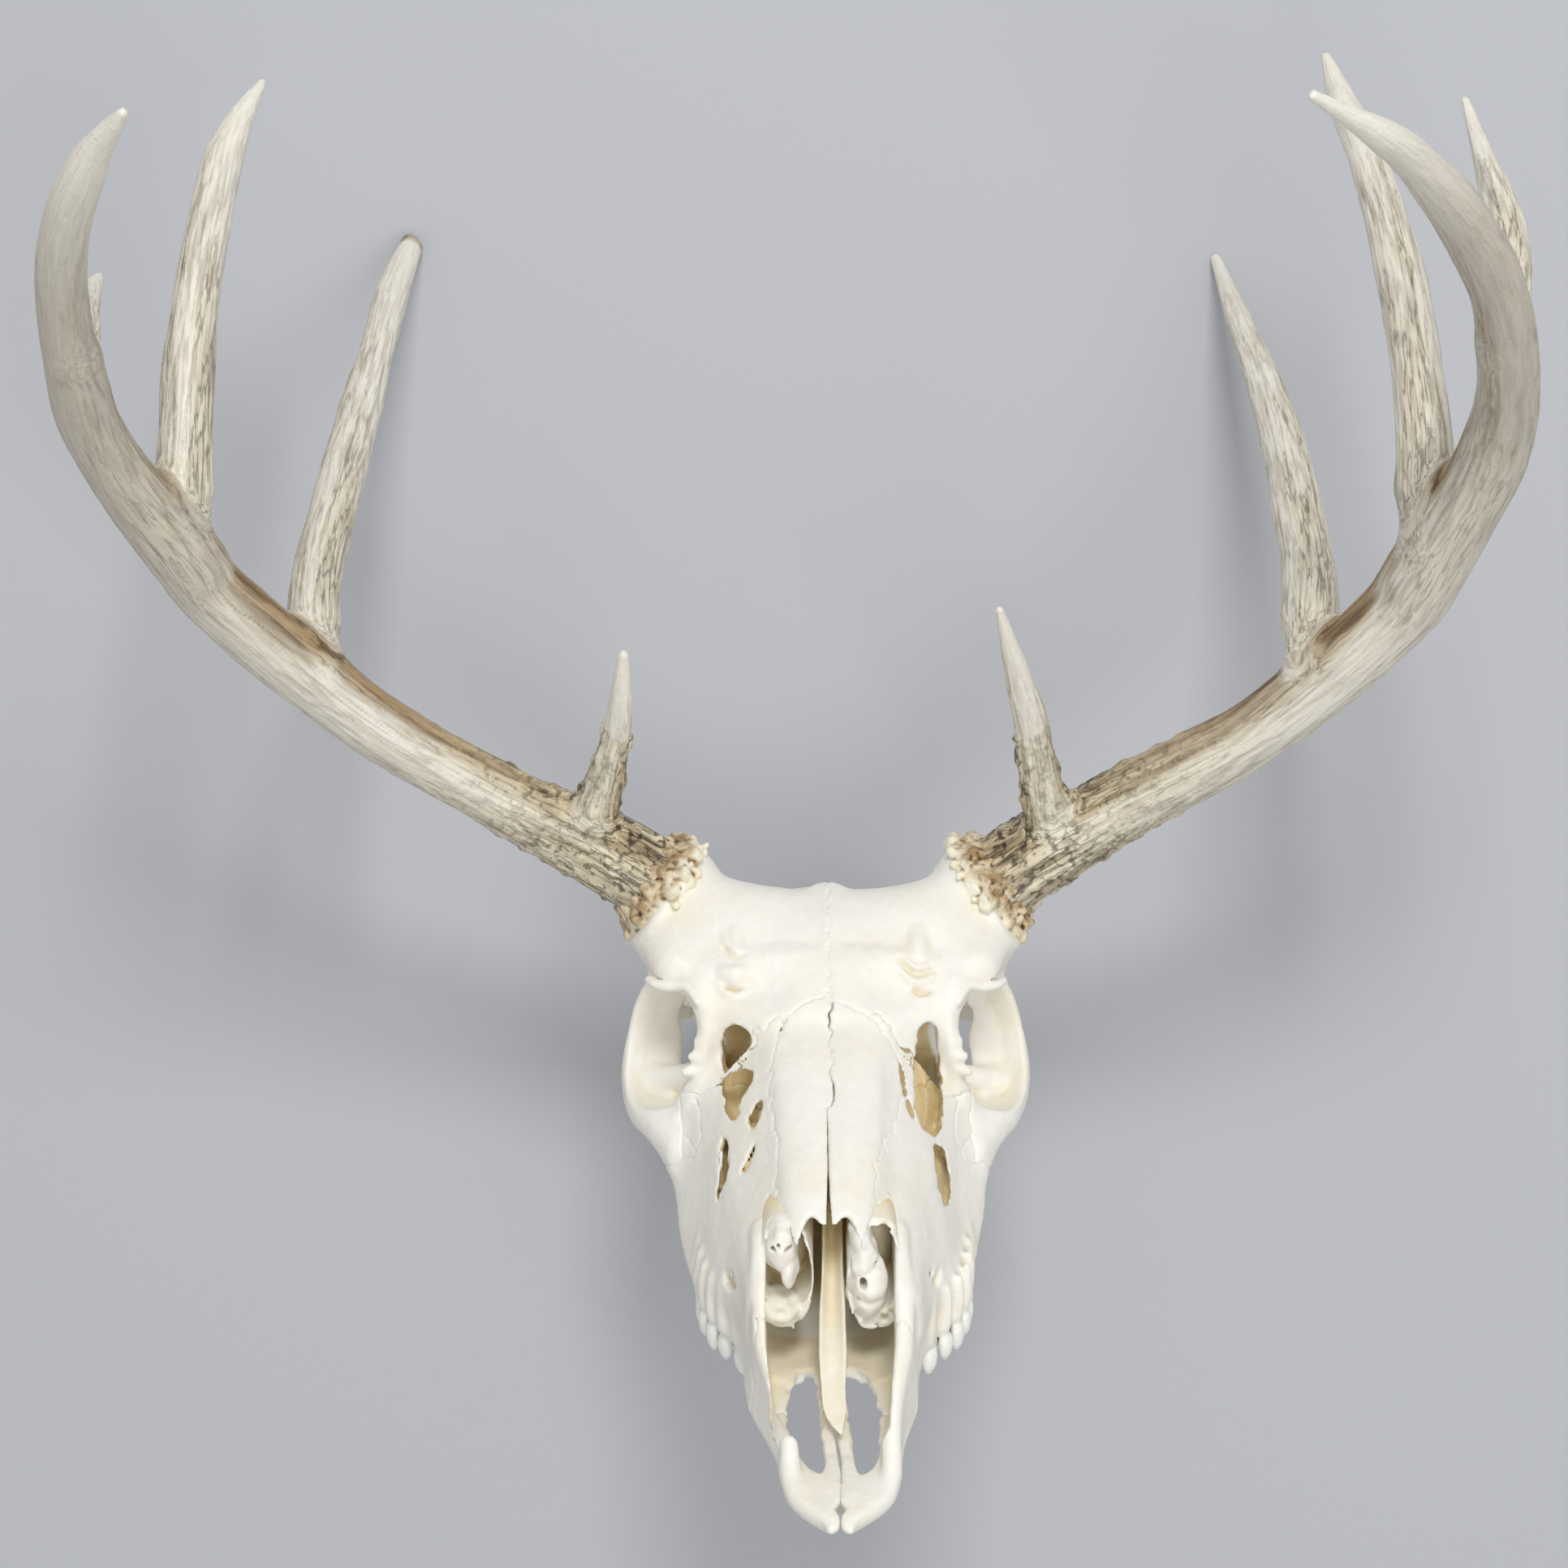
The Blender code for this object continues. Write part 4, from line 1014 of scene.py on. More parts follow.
tints = {
    # how far under the uncut surface the tan of the inner bone starts, at two places along y
    "inner": ((85, 6), (100, 1.8)),
    "innerOver": 7,  # over what depth it grows
    # y where the tan starts on the scrolls and the blade, over what length, the blade's least and half-width
    "nose": (76, 12, 0.3, 4.5),
    # the floor of the nose: how far in from its edge, at what heights, up to what y, and where it grows
    "floor": {"inset": 3.4, "heights": (10, 24), "end": 80, "fade": (30, 25), "most": 0.4},
    "openings": {"out": (15, 32), "along": (100, 180), "heights": (36, 76), "depth": (0.7, 1.2)},
}


def between(values, ends):
    return (values > ends[0]) * (values < ends[1])


def surfaceValues(points, quads, blank):
    # How hollow the surface is, from how far smoothing lifts it, and how far inside the nose or bone it lies
    normal = normalsOf(points, quads)
    # hollow and basin measure how concave the surface is; the bone's finish paints shade in cream-tan from
    # them
    lifts = [relaxed(points, quads, rounds) - points for rounds in (8, 40)]
    hollow, basin = (np.einsum("ij,ij->i", lift, normal) for lift in lifts)
    x, y, z = points.T
    if blank:
        depth = -blank.at(points)
        inner = ramp(depth, np.interp(y, *zip(*tints["inner"])), tints["innerOver"])
        floor, walls = tints["floor"], tints["openings"]
        flat = ramp(tableAt(nose["outer"], y) - np.abs(x - leanAt(y)), floor["inset"], 2)
        flat = flat * between(z, floor["heights"]) * (y < floor["end"]) * (normal[:, 2] > 0)
        inner = np.maximum(inner, floor["most"] * flat * ramp(y, *floor["fade"]))
        beside = between(np.abs(x), walls["out"]) * between(y, walls["along"])
        beside = beside * between(z, walls["heights"])
        inner = np.maximum(inner, beside * ramp(depth, *walls["depth"]))
    else:
        start, length, least, blade = tints["nose"]
        inner = np.clip((y - start) / length, least * (np.abs(x) < blade), 1)
    return {"hollow": hollow, "basin": basin, "inner": inner}


boneGrain = ((0.35, 16, 4), (0.16, 9, 5), (0.06, 3.5, 6), (0.03, 1.7, 7))  # height and size in mm, seed
toothEnd = (10, 2)  # height where the teeth end, and over what height


def bonePiece(name, field, node, material, blank=None):
    points, quads = surfaceOf(field.values, field.low, field.step)
    points = relaxed(points, quads, 2, 0.5, 0.52)
    grain = sum(height * grit(points, size, seed) for height, size, seed in boneGrain)
    calm = ramp(points[:, 2], *toothEnd)[:, None]  # the teeth stay smooth
    points = points + normalsOf(points, quads) * grain[:, None] * calm
    values = surfaceValues(points, quads, blank)
    values["tooth"] = 1 - calm[:, 0] if name.startswith("maxilla") else np.zeros(len(points))
    makePiece(name, skullToWorld(points), quads, [node], material, values)


seams = {
    # y, half-width of the nasal bones on each side; y, height of their undersides
    "nasal": {
        "right": (
            (60, 13), (80, 13.8), (98, 14.2), (117, 15.6), (126, 15.8), (135.5, 15), (141.3, 12.6),
            (144.9, 9.8), (147.6, 5.9), (149.5, 0),
        ),
        "left": (
            (60, 11.8), (80, 12), (93, 12.6), (112, 17.5), (126.4, 20.2), (135, 20), (140.5, 16.4),
            (144.4, 10.8), (147, 4.4), (149.5, 0),
        ),
    },
    "nasalUnder": ((60, 44), (85, 51), (110, 57), (136, 64), (149, 68), (152, 69)),
    # height, y of the seam between the upper jaw and the bones behind it
    "cheek": (
        (15, 146), (27, 142), (34, 134), (40, 130), (45, 134), (49, 141), (53, 142), (58, 138), (64, 140),
        (72, 143), (85, 145),
    ),
    # y, height of the seam between the forehead and the bones under it
    "brow": ((140, 50), (165, 52), (190, 60), (206, 66), (215, 68)),
    "browEnd": 207,
    "nasalEnd": 151,
    # y of the front bones' end at a height of -5, and how it moves back with the height
    "front": (46, 19 / 75),
    "malar": (41.5, 15, 73),  # x out from the middle, least and greatest height
    "occipital": 40,  # height
    "straightTo": 112,  # y from which the middle seam is ragged
    # y, half-width of the slit along the middle
    "slit": (
        (0, 0.25), (6, 0.3), (8.8, 1.7), (12, 0.3), (20, 0.3), (36, 0.2), (60, 0.3), (80, 0.35), (104, 0.3),
        (110, 0),
    ),
    # size and reach of the teeth of each seam, seed
    "ragged": {
        "nasal": (2.6, 0.9, 3),
        "front": (3, 1.2, 4),
        "cheek": (3.2, 1.3, 5),
        "malar": (4, 0.8, 6),
        "brow": (3.5, 1.4, 7),
        "middle": (2.2, 0.8, 8),
    },
    "gap": 0.05,  # half the width of a seam
    "sunk": 0.55,  # depth of the ledge in it
    "ledge": 1.6,  # how far the ledge runs on
}


def skullPieces(skull, blank, material):
    # Each bone is the skull's field cut by the bounds round it
    _, x, y, z = skull.window(skull.low, skull.low + skull.step * (skull.count + 1))

    def ragged(bound, word):
        return jagged(bound, x, y, z, *seams["ragged"][word])

    nasalHalf = np.where(x < 0, tableAt(seams["nasal"]["right"], y), tableAt(seams["nasal"]["left"], y))
    nasal = np.maximum(np.abs(x) - nasalHalf, tableAt(seams["nasalUnder"], y) - z)
    nasal = ragged(np.maximum(nasal, y - seams["nasalEnd"]), "nasal")
    front = ragged(y - seams["front"][0] - (z + 5) * seams["front"][1], "front")
    back = ragged((tableAt(seams["cheek"], z) - y) * 0.75, "cheek")
    out, low, high = seams["malar"]
    malar = ragged(np.maximum(out - np.abs(x), np.maximum(low - z, z - high)) + 0 * y, "malar")
    brow = ragged(np.maximum(tableAt(seams["brow"], y) - z, y - seams["browEnd"]), "brow")
    middle = ragged(0.7 - x + leanAt(y) + 0 * z, "middle")
    middle = np.where(y > seams["straightTo"], middle, leanAt(y) - 0.5 * (y > 60) - x + 0 * z)
    slit = np.interp(y, *zip(*seams["slit"]))
    floor = seams["occipital"] - z + 0 * x
    bones = {}
    halves = [slit + middle * side for side in sides.values()]
    for (word, side), half in zip(sides.items(), halves):
        bones["nasal" + word.title()] = ("nasal_" + word, nasal, half)
        bones["premaxilla" + word.title()] = ("premaxilla_" + word, front, -nasal, half)
        bones["maxilla" + word.title()] = ("maxilla_" + word, -front, -nasal, -back, half)
        bones["malar" + word.title()] = ("zygomatic_" + word, malar, back, -x * side)
        bones["frontal" + word.title()] = ("cranium", back, -nasal, -malar, brow, middle * side - 0.03)
    bones["parietal"] = ("cranium", back, -brow, -malar, floor)
    bones["occipital"] = ("cranium", back, -brow, -malar, -floor)
    for name, (node, *bounds) in bones.items():
        # A shallow ledge runs on under the next bone, so that a seam is a groove and not a black crack
        edge, ledge = skull.values, skull.values + seams["sunk"]
        for bound in bounds:
            edge = np.maximum(edge, bound + seams["gap"])
            straight = any(bound is half for half in halves)
            ledge = np.maximum(ledge, bound + (seams["gap"] if straight else -seams["ledge"]))
        bonePiece(name, skull.like(np.minimum(edge, ledge)), node, material, blank)


antlers = {
    # out, y, z in the resting frame, then the radius
    "right": {
        "beam": (
            (50, 168, 99, 12.5), (66, 178, 103, 12), (94, 193, 112, 10), (130, 215, 131, 9.6),
            (167, 247, 158, 9.9), (175, 259, 170, 10), (189, 282, 200, 8.6), (192, 300, 225, 7.9),
            (188, 325, 258, 6.3), (176, 342, 283, 4.9), (164, 351, 300, 1.6),
        ),
        "brow": ((70, 181, 104, 8), (62, 205, 124, 5.1), (59, 217, 135, 4), (57, 233, 149, 1.4)),
        "second": (
            (143, 230, 143, 9), (146, 254, 128, 7.6), (143, 296, 85, 6.8), (139, 336, 44, 5.8),
            (137, 357, 22, 5.2), (134, 374, 2, 4.1),
        ),
        "third": (
            (175, 262, 174, 9.3), (174, 290, 176, 7.6), (175, 324, 160, 6.9), (173, 364, 138, 6),
            (170, 382, 129, 4.9), (163, 400, 118, 1.3),
        ),
        "fourth": ((190, 304, 232, 6.5), (194, 316, 213, 5.2), (196, 326, 194, 3.6), (196, 333, 182, 1.5)),
    },
    "left": {
        "beam": (
            (50, 168, 99, 12.5), (68, 180, 104, 12), (89, 193, 114, 10.6), (123, 213, 133, 9.8),
            (154, 241, 154, 10.4), (163, 256, 168, 10.8), (174, 284, 198, 9.3), (172, 302, 224, 7.9),
            (160, 323, 255, 7), (134, 342, 291, 5.3), (106, 351, 318, 1.6),
        ),
        "brow": ((66, 181, 105, 8.5), (60, 205, 124, 5.6), (57, 217, 135, 4.8), (47, 245, 160, 1.4)),
        "second": (
            (133, 232, 145, 9.4), (138, 254, 128, 8.2), (139, 296, 80, 7), (137, 320, 54, 5.9),
            (133, 343, 30, 4.5), (129, 369, 1, 2),
        ),
        "third": (
            (161, 262, 175, 9.8), (161, 295, 172, 7.6), (161, 334, 148, 7.1), (155, 375, 128, 5.8),
            (150, 392, 118, 4.7), (146, 410, 108, 1.3),
        ),
        "fourth": ((168, 308, 233, 6.4), (173, 331, 222, 5.4), (173, 351, 205, 4.4), (170, 380, 183, 1.4)),
    },
    "chipped": "right",  # the side whose second tine has lost its tip
    "fork": 6,  # how far a tine's root blends into the beam
    "clear": 0.25,  # the least height over the floor
}

antlerSkin = {
    "stretch": 11,  # the grain's length over its width
    "wander": (0.8, 6, (41, 42)),  # how far the grain wanders, over what size, seeds
    # grooves lie where these noises are near 0: size, seed, share
    "lines": ((3.1, 43, 0.7), (1.7, 53, 0.45)),
    "lineWidth": 0.34,
    "knots": (2.6, 63, 0.15),  # size, seed, least of the noise
    "blend": 1.2,  # over what height one tube's grain gives way to the next one's
    "bare": (5, 0.42),  # how far from a tip the bark's stain starts, and over what share of the length
    "forks": (0.55, 0.35, 0.15),  # plainer in the forks, where two grains meet: start, length, least
    "roughBeam": (20, 75),  # the beaded foot of the beam: its length, and how far it fades
    "roughBrow": 38,
    "broad": (16, 71, 0.35),  # size, seed and height of the broadest unevenness
    "grooveDepth": (0.14, 0.3, 0.5),  # everywhere, where stained, where beaded
    "knotHeight": (0.15, 1.1),  # everywhere, where beaded
    # soil along the upper inner side of the beam's lower half: the way it faces, its gain and start, and the
    # lengths left to the tip where it starts and grows
    "stain": ((-0.42, 0.76, 0.5), 3, 1.6, (110, 60)),
    # paler where it is polished, on the side that faces out and up from the resting skull
    "polish": ((0.3, -0.55, 0.78), 1.8, 0.5, 0.6),
    # painted shade: the grey-tan of the upper stretches of beams and tines
    "shadedGrey": ((20, 50), (230, 90)),  # grey-tan between these lengths left to the tip
}


def placesOn(path, points):
    # For each point: its height over the tube round the path, the length along the path, the two ways across
    # it times the radius, the length left to the tip and the whole length
    axis = path[:, :3]
    along = np.concatenate([[0], np.cumsum(np.linalg.norm(np.diff(axis, axis=0), axis=1))])
    tangent = np.gradient(axis, axis=0)
    tangent /= np.linalg.norm(tangent, axis=1)[:, None]
    first = np.cross(tangent, np.cross(tangent[0], tangent[-1]))
    first /= np.linalg.norm(first, axis=1)[:, None]
    second = np.cross(tangent, first)
    found = []
    for start in range(0, len(points), 15000):
        part = points[start:start + 15000]
        near = (np.linalg.norm(part[:, None] - axis, axis=2) - path[:, 3]).argmin(axis=1)
        away = part - axis[near]
        run = np.einsum("ij,ij->i", away, tangent[near])
        away = away - run[:, None] * tangent[near]
        size = np.linalg.norm(away, axis=1) + 1e-6
        radius = path[near, 3]
        a = np.einsum("ij,ij->i", away, first[near]) / size * radius
        b = np.einsum("ij,ij->i", away, second[near]) / size * radius
        height = np.hypot(size, np.maximum(np.abs(run) - 1.5, 0)) - radius  # also beyond the path's ends
        left = along[-1] - along[near] - run
        found.append(np.stack([height, along[near] + run, a, b, left, 0 * run + along[-1]], axis=1))
    return np.concatenate(found).T


def antlerField(word, tubes):
    # The tubes with a soft join at each fork, and nothing lower than the floor
    low, high = boxOf(np.vstack(list(tubes.values())))
    low, high = low - 3, high + 3
    field = Field(low, high, fineness["antler"])
    for path in tubes.values():
        field.addTube(path, antlers["fork"])
    where, x, y, z = field.window(low, high)
    field.values[where] = softMax(field.values[where], antlers["clear"] - z, 0.5)
    if antlers["chipped"] == word:
        tip, before = tubes["second"][-1, :3], tubes["second"][-6, :3]
        way = (tip - before) / np.linalg.norm(tip - before)
        where, x, y, z = field.window(tip - 9, tip + 9)
        beyond = (x - tip[0]) * way[0] + (y - tip[1]) * way[1] + (z - tip[2]) * way[2]
        field.values[where] = softMax(field.values[where], jagged(beyond + 0.6, x, y, z, 2.5, 1.3, 75), 0.4)
    return field


def grainOf(places):
    # The grooves, the knots, how far a point is from bare tips, and the grain's coordinates, each blended
    # where two tubes meet by how near the tubes are
    reach, wide, seeds = antlerSkin["wander"]
    size, seed, start = antlerSkin["knots"]
    bareFrom, bareShare = antlerSkin["bare"]
    least = np.min([place[0] for place in places.values()], axis=0)
    total, most, groove, pearl, bare, grain = 0, 0, 0, 0, 0, 0
    for index, (height, run, a, b, left, length) in enumerate(places.values()):
        weight = np.exp((least - height) / antlerSkin["blend"])
        at = np.stack([a, b, run / antlerSkin["stretch"]], axis=1)
        warp = at + reach * np.stack([*(grit(at * (1, 1, 4), wide, k) for k in seeds), 0 * a], axis=1)
        lines = sum(np.abs(grit(warp, mm, first + index)) * share for mm, first, share in antlerSkin["lines"])
        groove = groove + weight * np.clip(1 - lines / antlerSkin["lineWidth"], 0, 1)
        knots = grit(np.stack([a, b, run * 0.7], axis=1), size, seed)
        pearl = pearl + weight * np.clip(knots - start, 0, 1)
        bare = bare + weight * np.clip((left - bareFrom) / (bareShare * length), 0, 1)
        grain = grain + weight[:, None] * at
        total = total + weight
        most = np.maximum(most, weight)
    start, length, least = antlerSkin["forks"]
    bare = bare / total * np.clip((most / total - start) / length, least, 1)
    return groove / total, pearl / total, bare, grain / total[:, None]


def makeAntler(word, material):
    side = sides[word]
    tubes = {name: curveThrough(mirrored(rows, side), 2.5) for name, rows in antlers[word].items()}
    for name, path in tubes.items():
        if name != "beam":
            # thin where it starts, inside the beam
            path[:, 3] *= np.clip(0.4 + 0.6 * np.arange(len(path)) / 6, 0, 1)
    field = antlerField(word, tubes)
    points, quads = surfaceOf(field.values, field.low, field.step)
    points = relaxed(points, quads, 2, 0.5, 0.52)
    normal = normalsOf(points, quads)
    places = {name: placesOn(path, points) for name, path in tubes.items()}
    groove, pearl, bare, grain = grainOf(places)
    (height, run, *_, left, _), (browHeight, browRun, *_) = places["beam"], places["brow"]
    rough = (1 - ramp(run, *antlerSkin["roughBeam"])) * (height < 30)
    rough = np.maximum(rough, (1 - ramp(browRun, 0, antlerSkin["roughBrow"])) * (browHeight < 3))
    size, seed, rise = antlerSkin["broad"]
    deep, high = antlerSkin["grooveDepth"], antlerSkin["knotHeight"]
    dent = groove * (deep[0] + deep[1] * bare + deep[2] * rough) * np.clip(bare * 1.6, 0.1, 1)
    lift = grit(points, size, seed) * rise - dent + pearl * (high[0] + high[1] * rough)
    points = points + normal * (lift - 0.15)[:, None]
    facing, gain, start, along = antlerSkin["stain"]
    stain = normal @ (np.array(facing) * (side, 1, 1)) * gain - start + 0.5 * grit(grain, 4, 44)
    stain = np.clip(stain, 0, 1) * ramp(left, *along) * ramp(-height, -2.5, 2)
    if antlers["chipped"] == word:
        tip = tubes["second"][-1, :3]
        stain = np.maximum(stain, np.clip(2 - np.linalg.norm(points - tip, axis=1) / 3.5, 0, 1))
    facing, gain, start, share = antlerSkin["polish"]
    polish = np.clip(normal @ (np.array(facing) * (side, 1, 1)) * gain - start, 0, 1)
    # painted shade: grey-tan along the upper stretch of each beam and tine, away from the tips
    near, far = antlerSkin["shadedGrey"]
    shadedGrey = ramp(left, *near) * ramp(-left, -far[0], far[1]) * (height < 2)
    values = {
        "groove": groove,
        "bare": bare * (1 - share * polish),
        "rough": rough * (1 - share * polish * np.clip(browRun / 12, 0.4, 1)),
        "grain": grain,
        "stain": stain,
        "shadedGrey": shadedGrey,
    }
    nodes = [f"beam_{word}_{part}" for part in ("lower", "middle", "upper")]
    nodes += [f"tine_{word}_{part}" for part in ("brow", "second", "third", "fourth")]
    makePiece("antler" + word.title(), restToWorld(points), quads, nodes, material, values)


burr = {
    # place along the axis, radius of the ring, number of knobs, their least and greatest radius
    "rings": (
        (-1.8, 17.0, 23, 1.1, 1.9), (0.9, 18.2, 19, 1.4, 2.5), (3.8, 16.4, 21, 1.1, 2.1),
        (6.2, 14.2, 17, 0.9, 1.7),
    ),
    "pleat": 1.9,  # how far a knob stretches along the antler
    # the band under them: radius, half-thickness, place along the axis, half-width
    "band": (13, 3.4, 0.4, 4.8),
    "knob": (11.8, 12.5, 0.45),  # radius of a knob's foot and of its middle, which lies this far to its tip
    "spread": {"angle": 0.42, "reach": (-2.2, 1.1), "along": 1},
    "pitted": 0.92,  # the largest knobs, over this share of the range of sizes, have a pit
    "grain": ((0.45, 2.6, 80), (0.25, 1.3, 81)),  # height and size in mm, seed
}


def makeBurr(word, material):
    # Rings of uneven knobs on a band round the antler's foot, each stretched along it like a pleat of a ruff
    side = sides[word]
    random = np.random.default_rng(80 + side)
    centre, axis = (np.array(base["pedicle"][key]) * (side, 1, 1) for key in ("centre", "axis"))
    axis /= np.linalg.norm(axis)
    first = np.cross(axis, (0, 0, 1))
    first /= np.linalg.norm(first)
    second = np.cross(axis, first)
    field = Field(centre - 27, centre + 27, fineness["detail"])

    def band(x, y, z):
        x, y, z = x - centre[0], y - centre[1], z - centre[2]
        deep = x * axis[0] + y * axis[1] + z * axis[2]
        out = np.sqrt(np.maximum(x * x + y * y + z * z - deep * deep, 0))
        return np.hypot((out - middle) / half, (deep - place) / wide) * half - half

    middle, half, place, wide = burr["band"]
    field.add((centre - 22, centre + 22, band), 1)
    footOut, waistOut, share = burr["knob"]
    spread, pitted = burr["spread"], burr["pitted"]
    for deep, radius, count, least, most in burr["rings"]:
        for index in range(count):
            angle = (index + random.uniform(-spread["angle"], spread["angle"])) / count * math.tau
            size = random.uniform(least, most)
            reach = radius + random.uniform(*spread["reach"]) - size * 0.4
            way = first * math.cos(angle) + second * math.sin(angle)
            lean = axis * random.uniform(-spread["along"], spread["along"])
            foot = centre + axis * (deep + burr["pleat"]) + way * footOut
            halfway = share * reach + (1 - share) * waistOut
            waist = centre + axis * (deep + 0.3 * burr["pleat"]) + way * halfway
            tip = centre + axis * (deep - 0.3 * burr["pleat"]) + lean + way * reach
            rows = ((*foot, size * 0.7), (*waist, size * 0.95), (*tip, size))
            field.add(rod(rows, step=2), 1.1)
            if size > (1 - pitted) * least + pitted * most:
                pit = tip + way * size * 0.7 + axis * random.uniform(-spread["along"], spread["along"])
                field.cut(ball(pit, (size * 0.42,) * 3), 0.6)
    points, quads = surfaceOf(field.values, field.low, field.step)
    points = relaxed(points, quads, 1, 0.5, 0.52)
    normal = normalsOf(points, quads)
    grain = sum(height * grit(points, mm, seed) for height, mm, seed in burr["grain"])
    points = points + normal * grain[:, None]
    # How concave the surface is, from which the burr's finish paints soil and shade in the hollows
    hollow = np.einsum("ij,ij->i", relaxed(points, quads, 12) - points, normal)
    values = {"hollow": hollow, "pit": hollow, "deep": (points - centre) @ axis}
    name, node = "burr" + word.title(), "burr_" + word
    makePiece(name, restToWorld(points), quads, [node], material, values)


def addNode(tree, kind, inputs=(), out=0, **settings):
    # Adds a node with its settings and gives one of its outputs; each input is another node's output, which
    # is linked, or a plain value
    node = tree.nodes.new("ShaderNode" + kind)
    for name, value in settings.items():
        setattr(node, name, value)
    for socket, value in dict(inputs).items():
        if isinstance(value, bpy.types.NodeSocket):
            tree.links.new(value, node.inputs[socket])
        else:
            node.inputs[socket].default_value = value
    return node.outputs[out]


def hexColour(text):
    # Each pair of digits is an sRGB value: divided by 12.92 when low, else raised to 2.4 after its offset
    parts = [int(text[k:k + 2], 16) / 255 for k in (1, 3, 5)]
    return (*(c / 12.92 if c <= 0.04045 else ((c + 0.055) / 1.055) ** 2.4 for c in parts), 1)


def blankMaterial(name, roughness, colour="#FFFFFF"):
    material = bpy.data.materials.new(name)
    material.use_nodes = True
    tree = material.node_tree
    shader = tree.nodes["Principled BSDF"]
    shader.inputs["Roughness"].default_value = roughness
    shader.inputs["Base Color"].default_value = hexColour(colour)
    return material, tree, shader


# Each finish has masks from 0 to 1, read from the mesh's attributes, with their values for 0 and 1, and from
# textures, with their coordinates, scale, detail and values for 0 and 1. Each colour layer lies over those
# before it, as strongly as the product of its masks times its number. Each bump has its mask, its depth in
# metres and its strength.

# Bleached bone: boiled and whitened with peroxide, chalky in flecks, with painted shade in cream and tan
# where it is hollow, and tan where the thin inner bone keeps its fat. Light sinks in a little.
bleachedBone = {
    "roughness": 0.48,
    "attributes": {"hollow": (0.03, 0.35), "basin": (0.1, 1.5), "inner": (0, 1), "tooth": (0, 1)},
    "textures": {
        "patches": ("TexNoise", "place", 45, 3, 0.45, 0.65),  # about 20 mm across
        "mottle": ("TexNoise", "place", 130, 3, 0.25, 0.6),
        "chalk": ("TexNoise", "place", 320, 5, 0.5, 0.75),  # flecks about 3 mm across
        "pores": ("TexNoise", "place", 1100, 4, 0.3, 0.7),  # just under 1 mm across, so that they show
        "pits": ("TexVoronoi", "place", 420, 0, 0, 0.25),
    },
    "base": "#F2EFE6",
    "layers": (
        ("#ECE5CF", 0.5, "patches"),
        ("#FAFAF6", 0.4, "chalk"),
        # painted shade: cream and tan in broad hollows and in creases, from how concave the surface is
        ("#EBE0BE", 0.7, "basin"),
        ("#DED0A8", 0.6, "hollow"),
        ("#EDDFB4", 0.9, "inner"),
        ("#CDAE76", 0.5, "inner", "mottle"),
        ("#F8F7F0", 1, "tooth"),
    ),
    "bumps": (("pores", 0.0002, 0.25), ("chalk", 0.0002, 0.2), ("pits", 0.0002, 0.1)),
    "sockets": {
        "Subsurface Weight": 0.1,
        "Subsurface Radius": (0.002, 0.0014, 0.0008),
        "Subsurface Scale": 1,
    },
}

# Hard antler, rubbed on bark: polished ivory ridges, sap-stained brown in the grooves and on the upper side,
# dark and beaded near the burr, painted shade in grey-tan higher up, smooth and pale at the tips. The grain
# runs along each beam or tine.
rubbedAntler = {
    "roughness": 0.42,
    "attributes": {"groove": (0.1, 0.75), "bare": (0, 0.7), "rough": (0, 1), "stain": (0, 1), "shadedGrey": (0, 1)},
    "textures": {
        "streaks": ("TexNoise", "grain", 0.9, 4, 0.46, 0.62),  # about 1 mm across and a dozen long
        # together, thin lines where the noise is near its middle
        "crackLow": ("TexNoise", "grain", 0.55, 4, 0.455, 0.49),
        "crackHigh": ("TexNoise", "grain", 0.55, 4, 0.545, 0.51),
        "pitted": ("TexNoise", "place", 420, 4, 0.53, 0.62),  # spots 1 to 2 mm across
        "patches": ("TexNoise", "grain", 0.12, 3, 0.4, 0.6),  # about 8 mm across
        "blots": ("TexNoise", "grain", 0.3, 4, 0.45, 0.6),
        "grit": ("TexNoise", "place", 1400, 3, 0.3, 0.7),
    },
    "base": "#E9E5D8",
    "layers": (
        # painted shade: grey-tan over the upper stretches of beams and tines
        ("#ADA495", 0.65, "shadedGrey"),
        ("#D3C9B0", 0.6, "patches", "bare"),
        ("#988668", 0.4, "streaks", "bare"),
        ("#A3834F", 0.85, "stain"),
        ("#5F4626", 0.9, "stain", "blots"),
        ("#54402A", 0.35, "groove", "bare"),
        ("#4A3722", 0.6, "crackLow", "crackHigh", "patches", "bare"),
        ("#E4D8B4", 0.75, "rough"),
        ("#80602F", 0.65, "rough", "blots"),
        ("#2B1D10", 0.9, "rough", "pitted"),
        ("#2B1D10", 0.85, "rough", "crackLow", "crackHigh"),
        ("#2B1D10", 0.5, "rough", "groove"),
    ),
    "bumps": (("streaks", -0.0004, 0.4), ("grit", 0.0002, 0.25)),
    "sockets": {},
}

# The burr's knobs: bone-white on the skull's side, gold-brown on the antler's, with dark soil and painted
# shade between them
pearledBurr = {
    "roughness": 0.5,
    "attributes": {"hollow": (0, 0.26), "pit": (0.25, 0.6), "deep": (-0.5, 3.5)},
    "textures": {
        "blot": ("TexNoise", "place", 260, 3, 0.4, 0.62),
        "grit": ("TexNoise", "place", 1300, 3, 0.3, 0.7),
    },
    "base": "#F2EEDC",
    "layers": (
        ("#E3D3A0", 0.4, "blot"),
        # soil and painted shade: brown between the knobs, near black in the deepest hollows on the antler's
        # side and in the pits
        ("#A07A38", 0.9, "hollow"),
        ("#BC9650", 0.45, "deep"),
        ("#86602A", 0.75, "deep", "blot"),
        ("#2E1D0E", 0.95, "deep", "hollow"),
        ("#2B1A0C", 0.95, "pit"),
    ),
    "bumps": (("grit", 0.0002, 0.35),),
    "sockets": {},
}


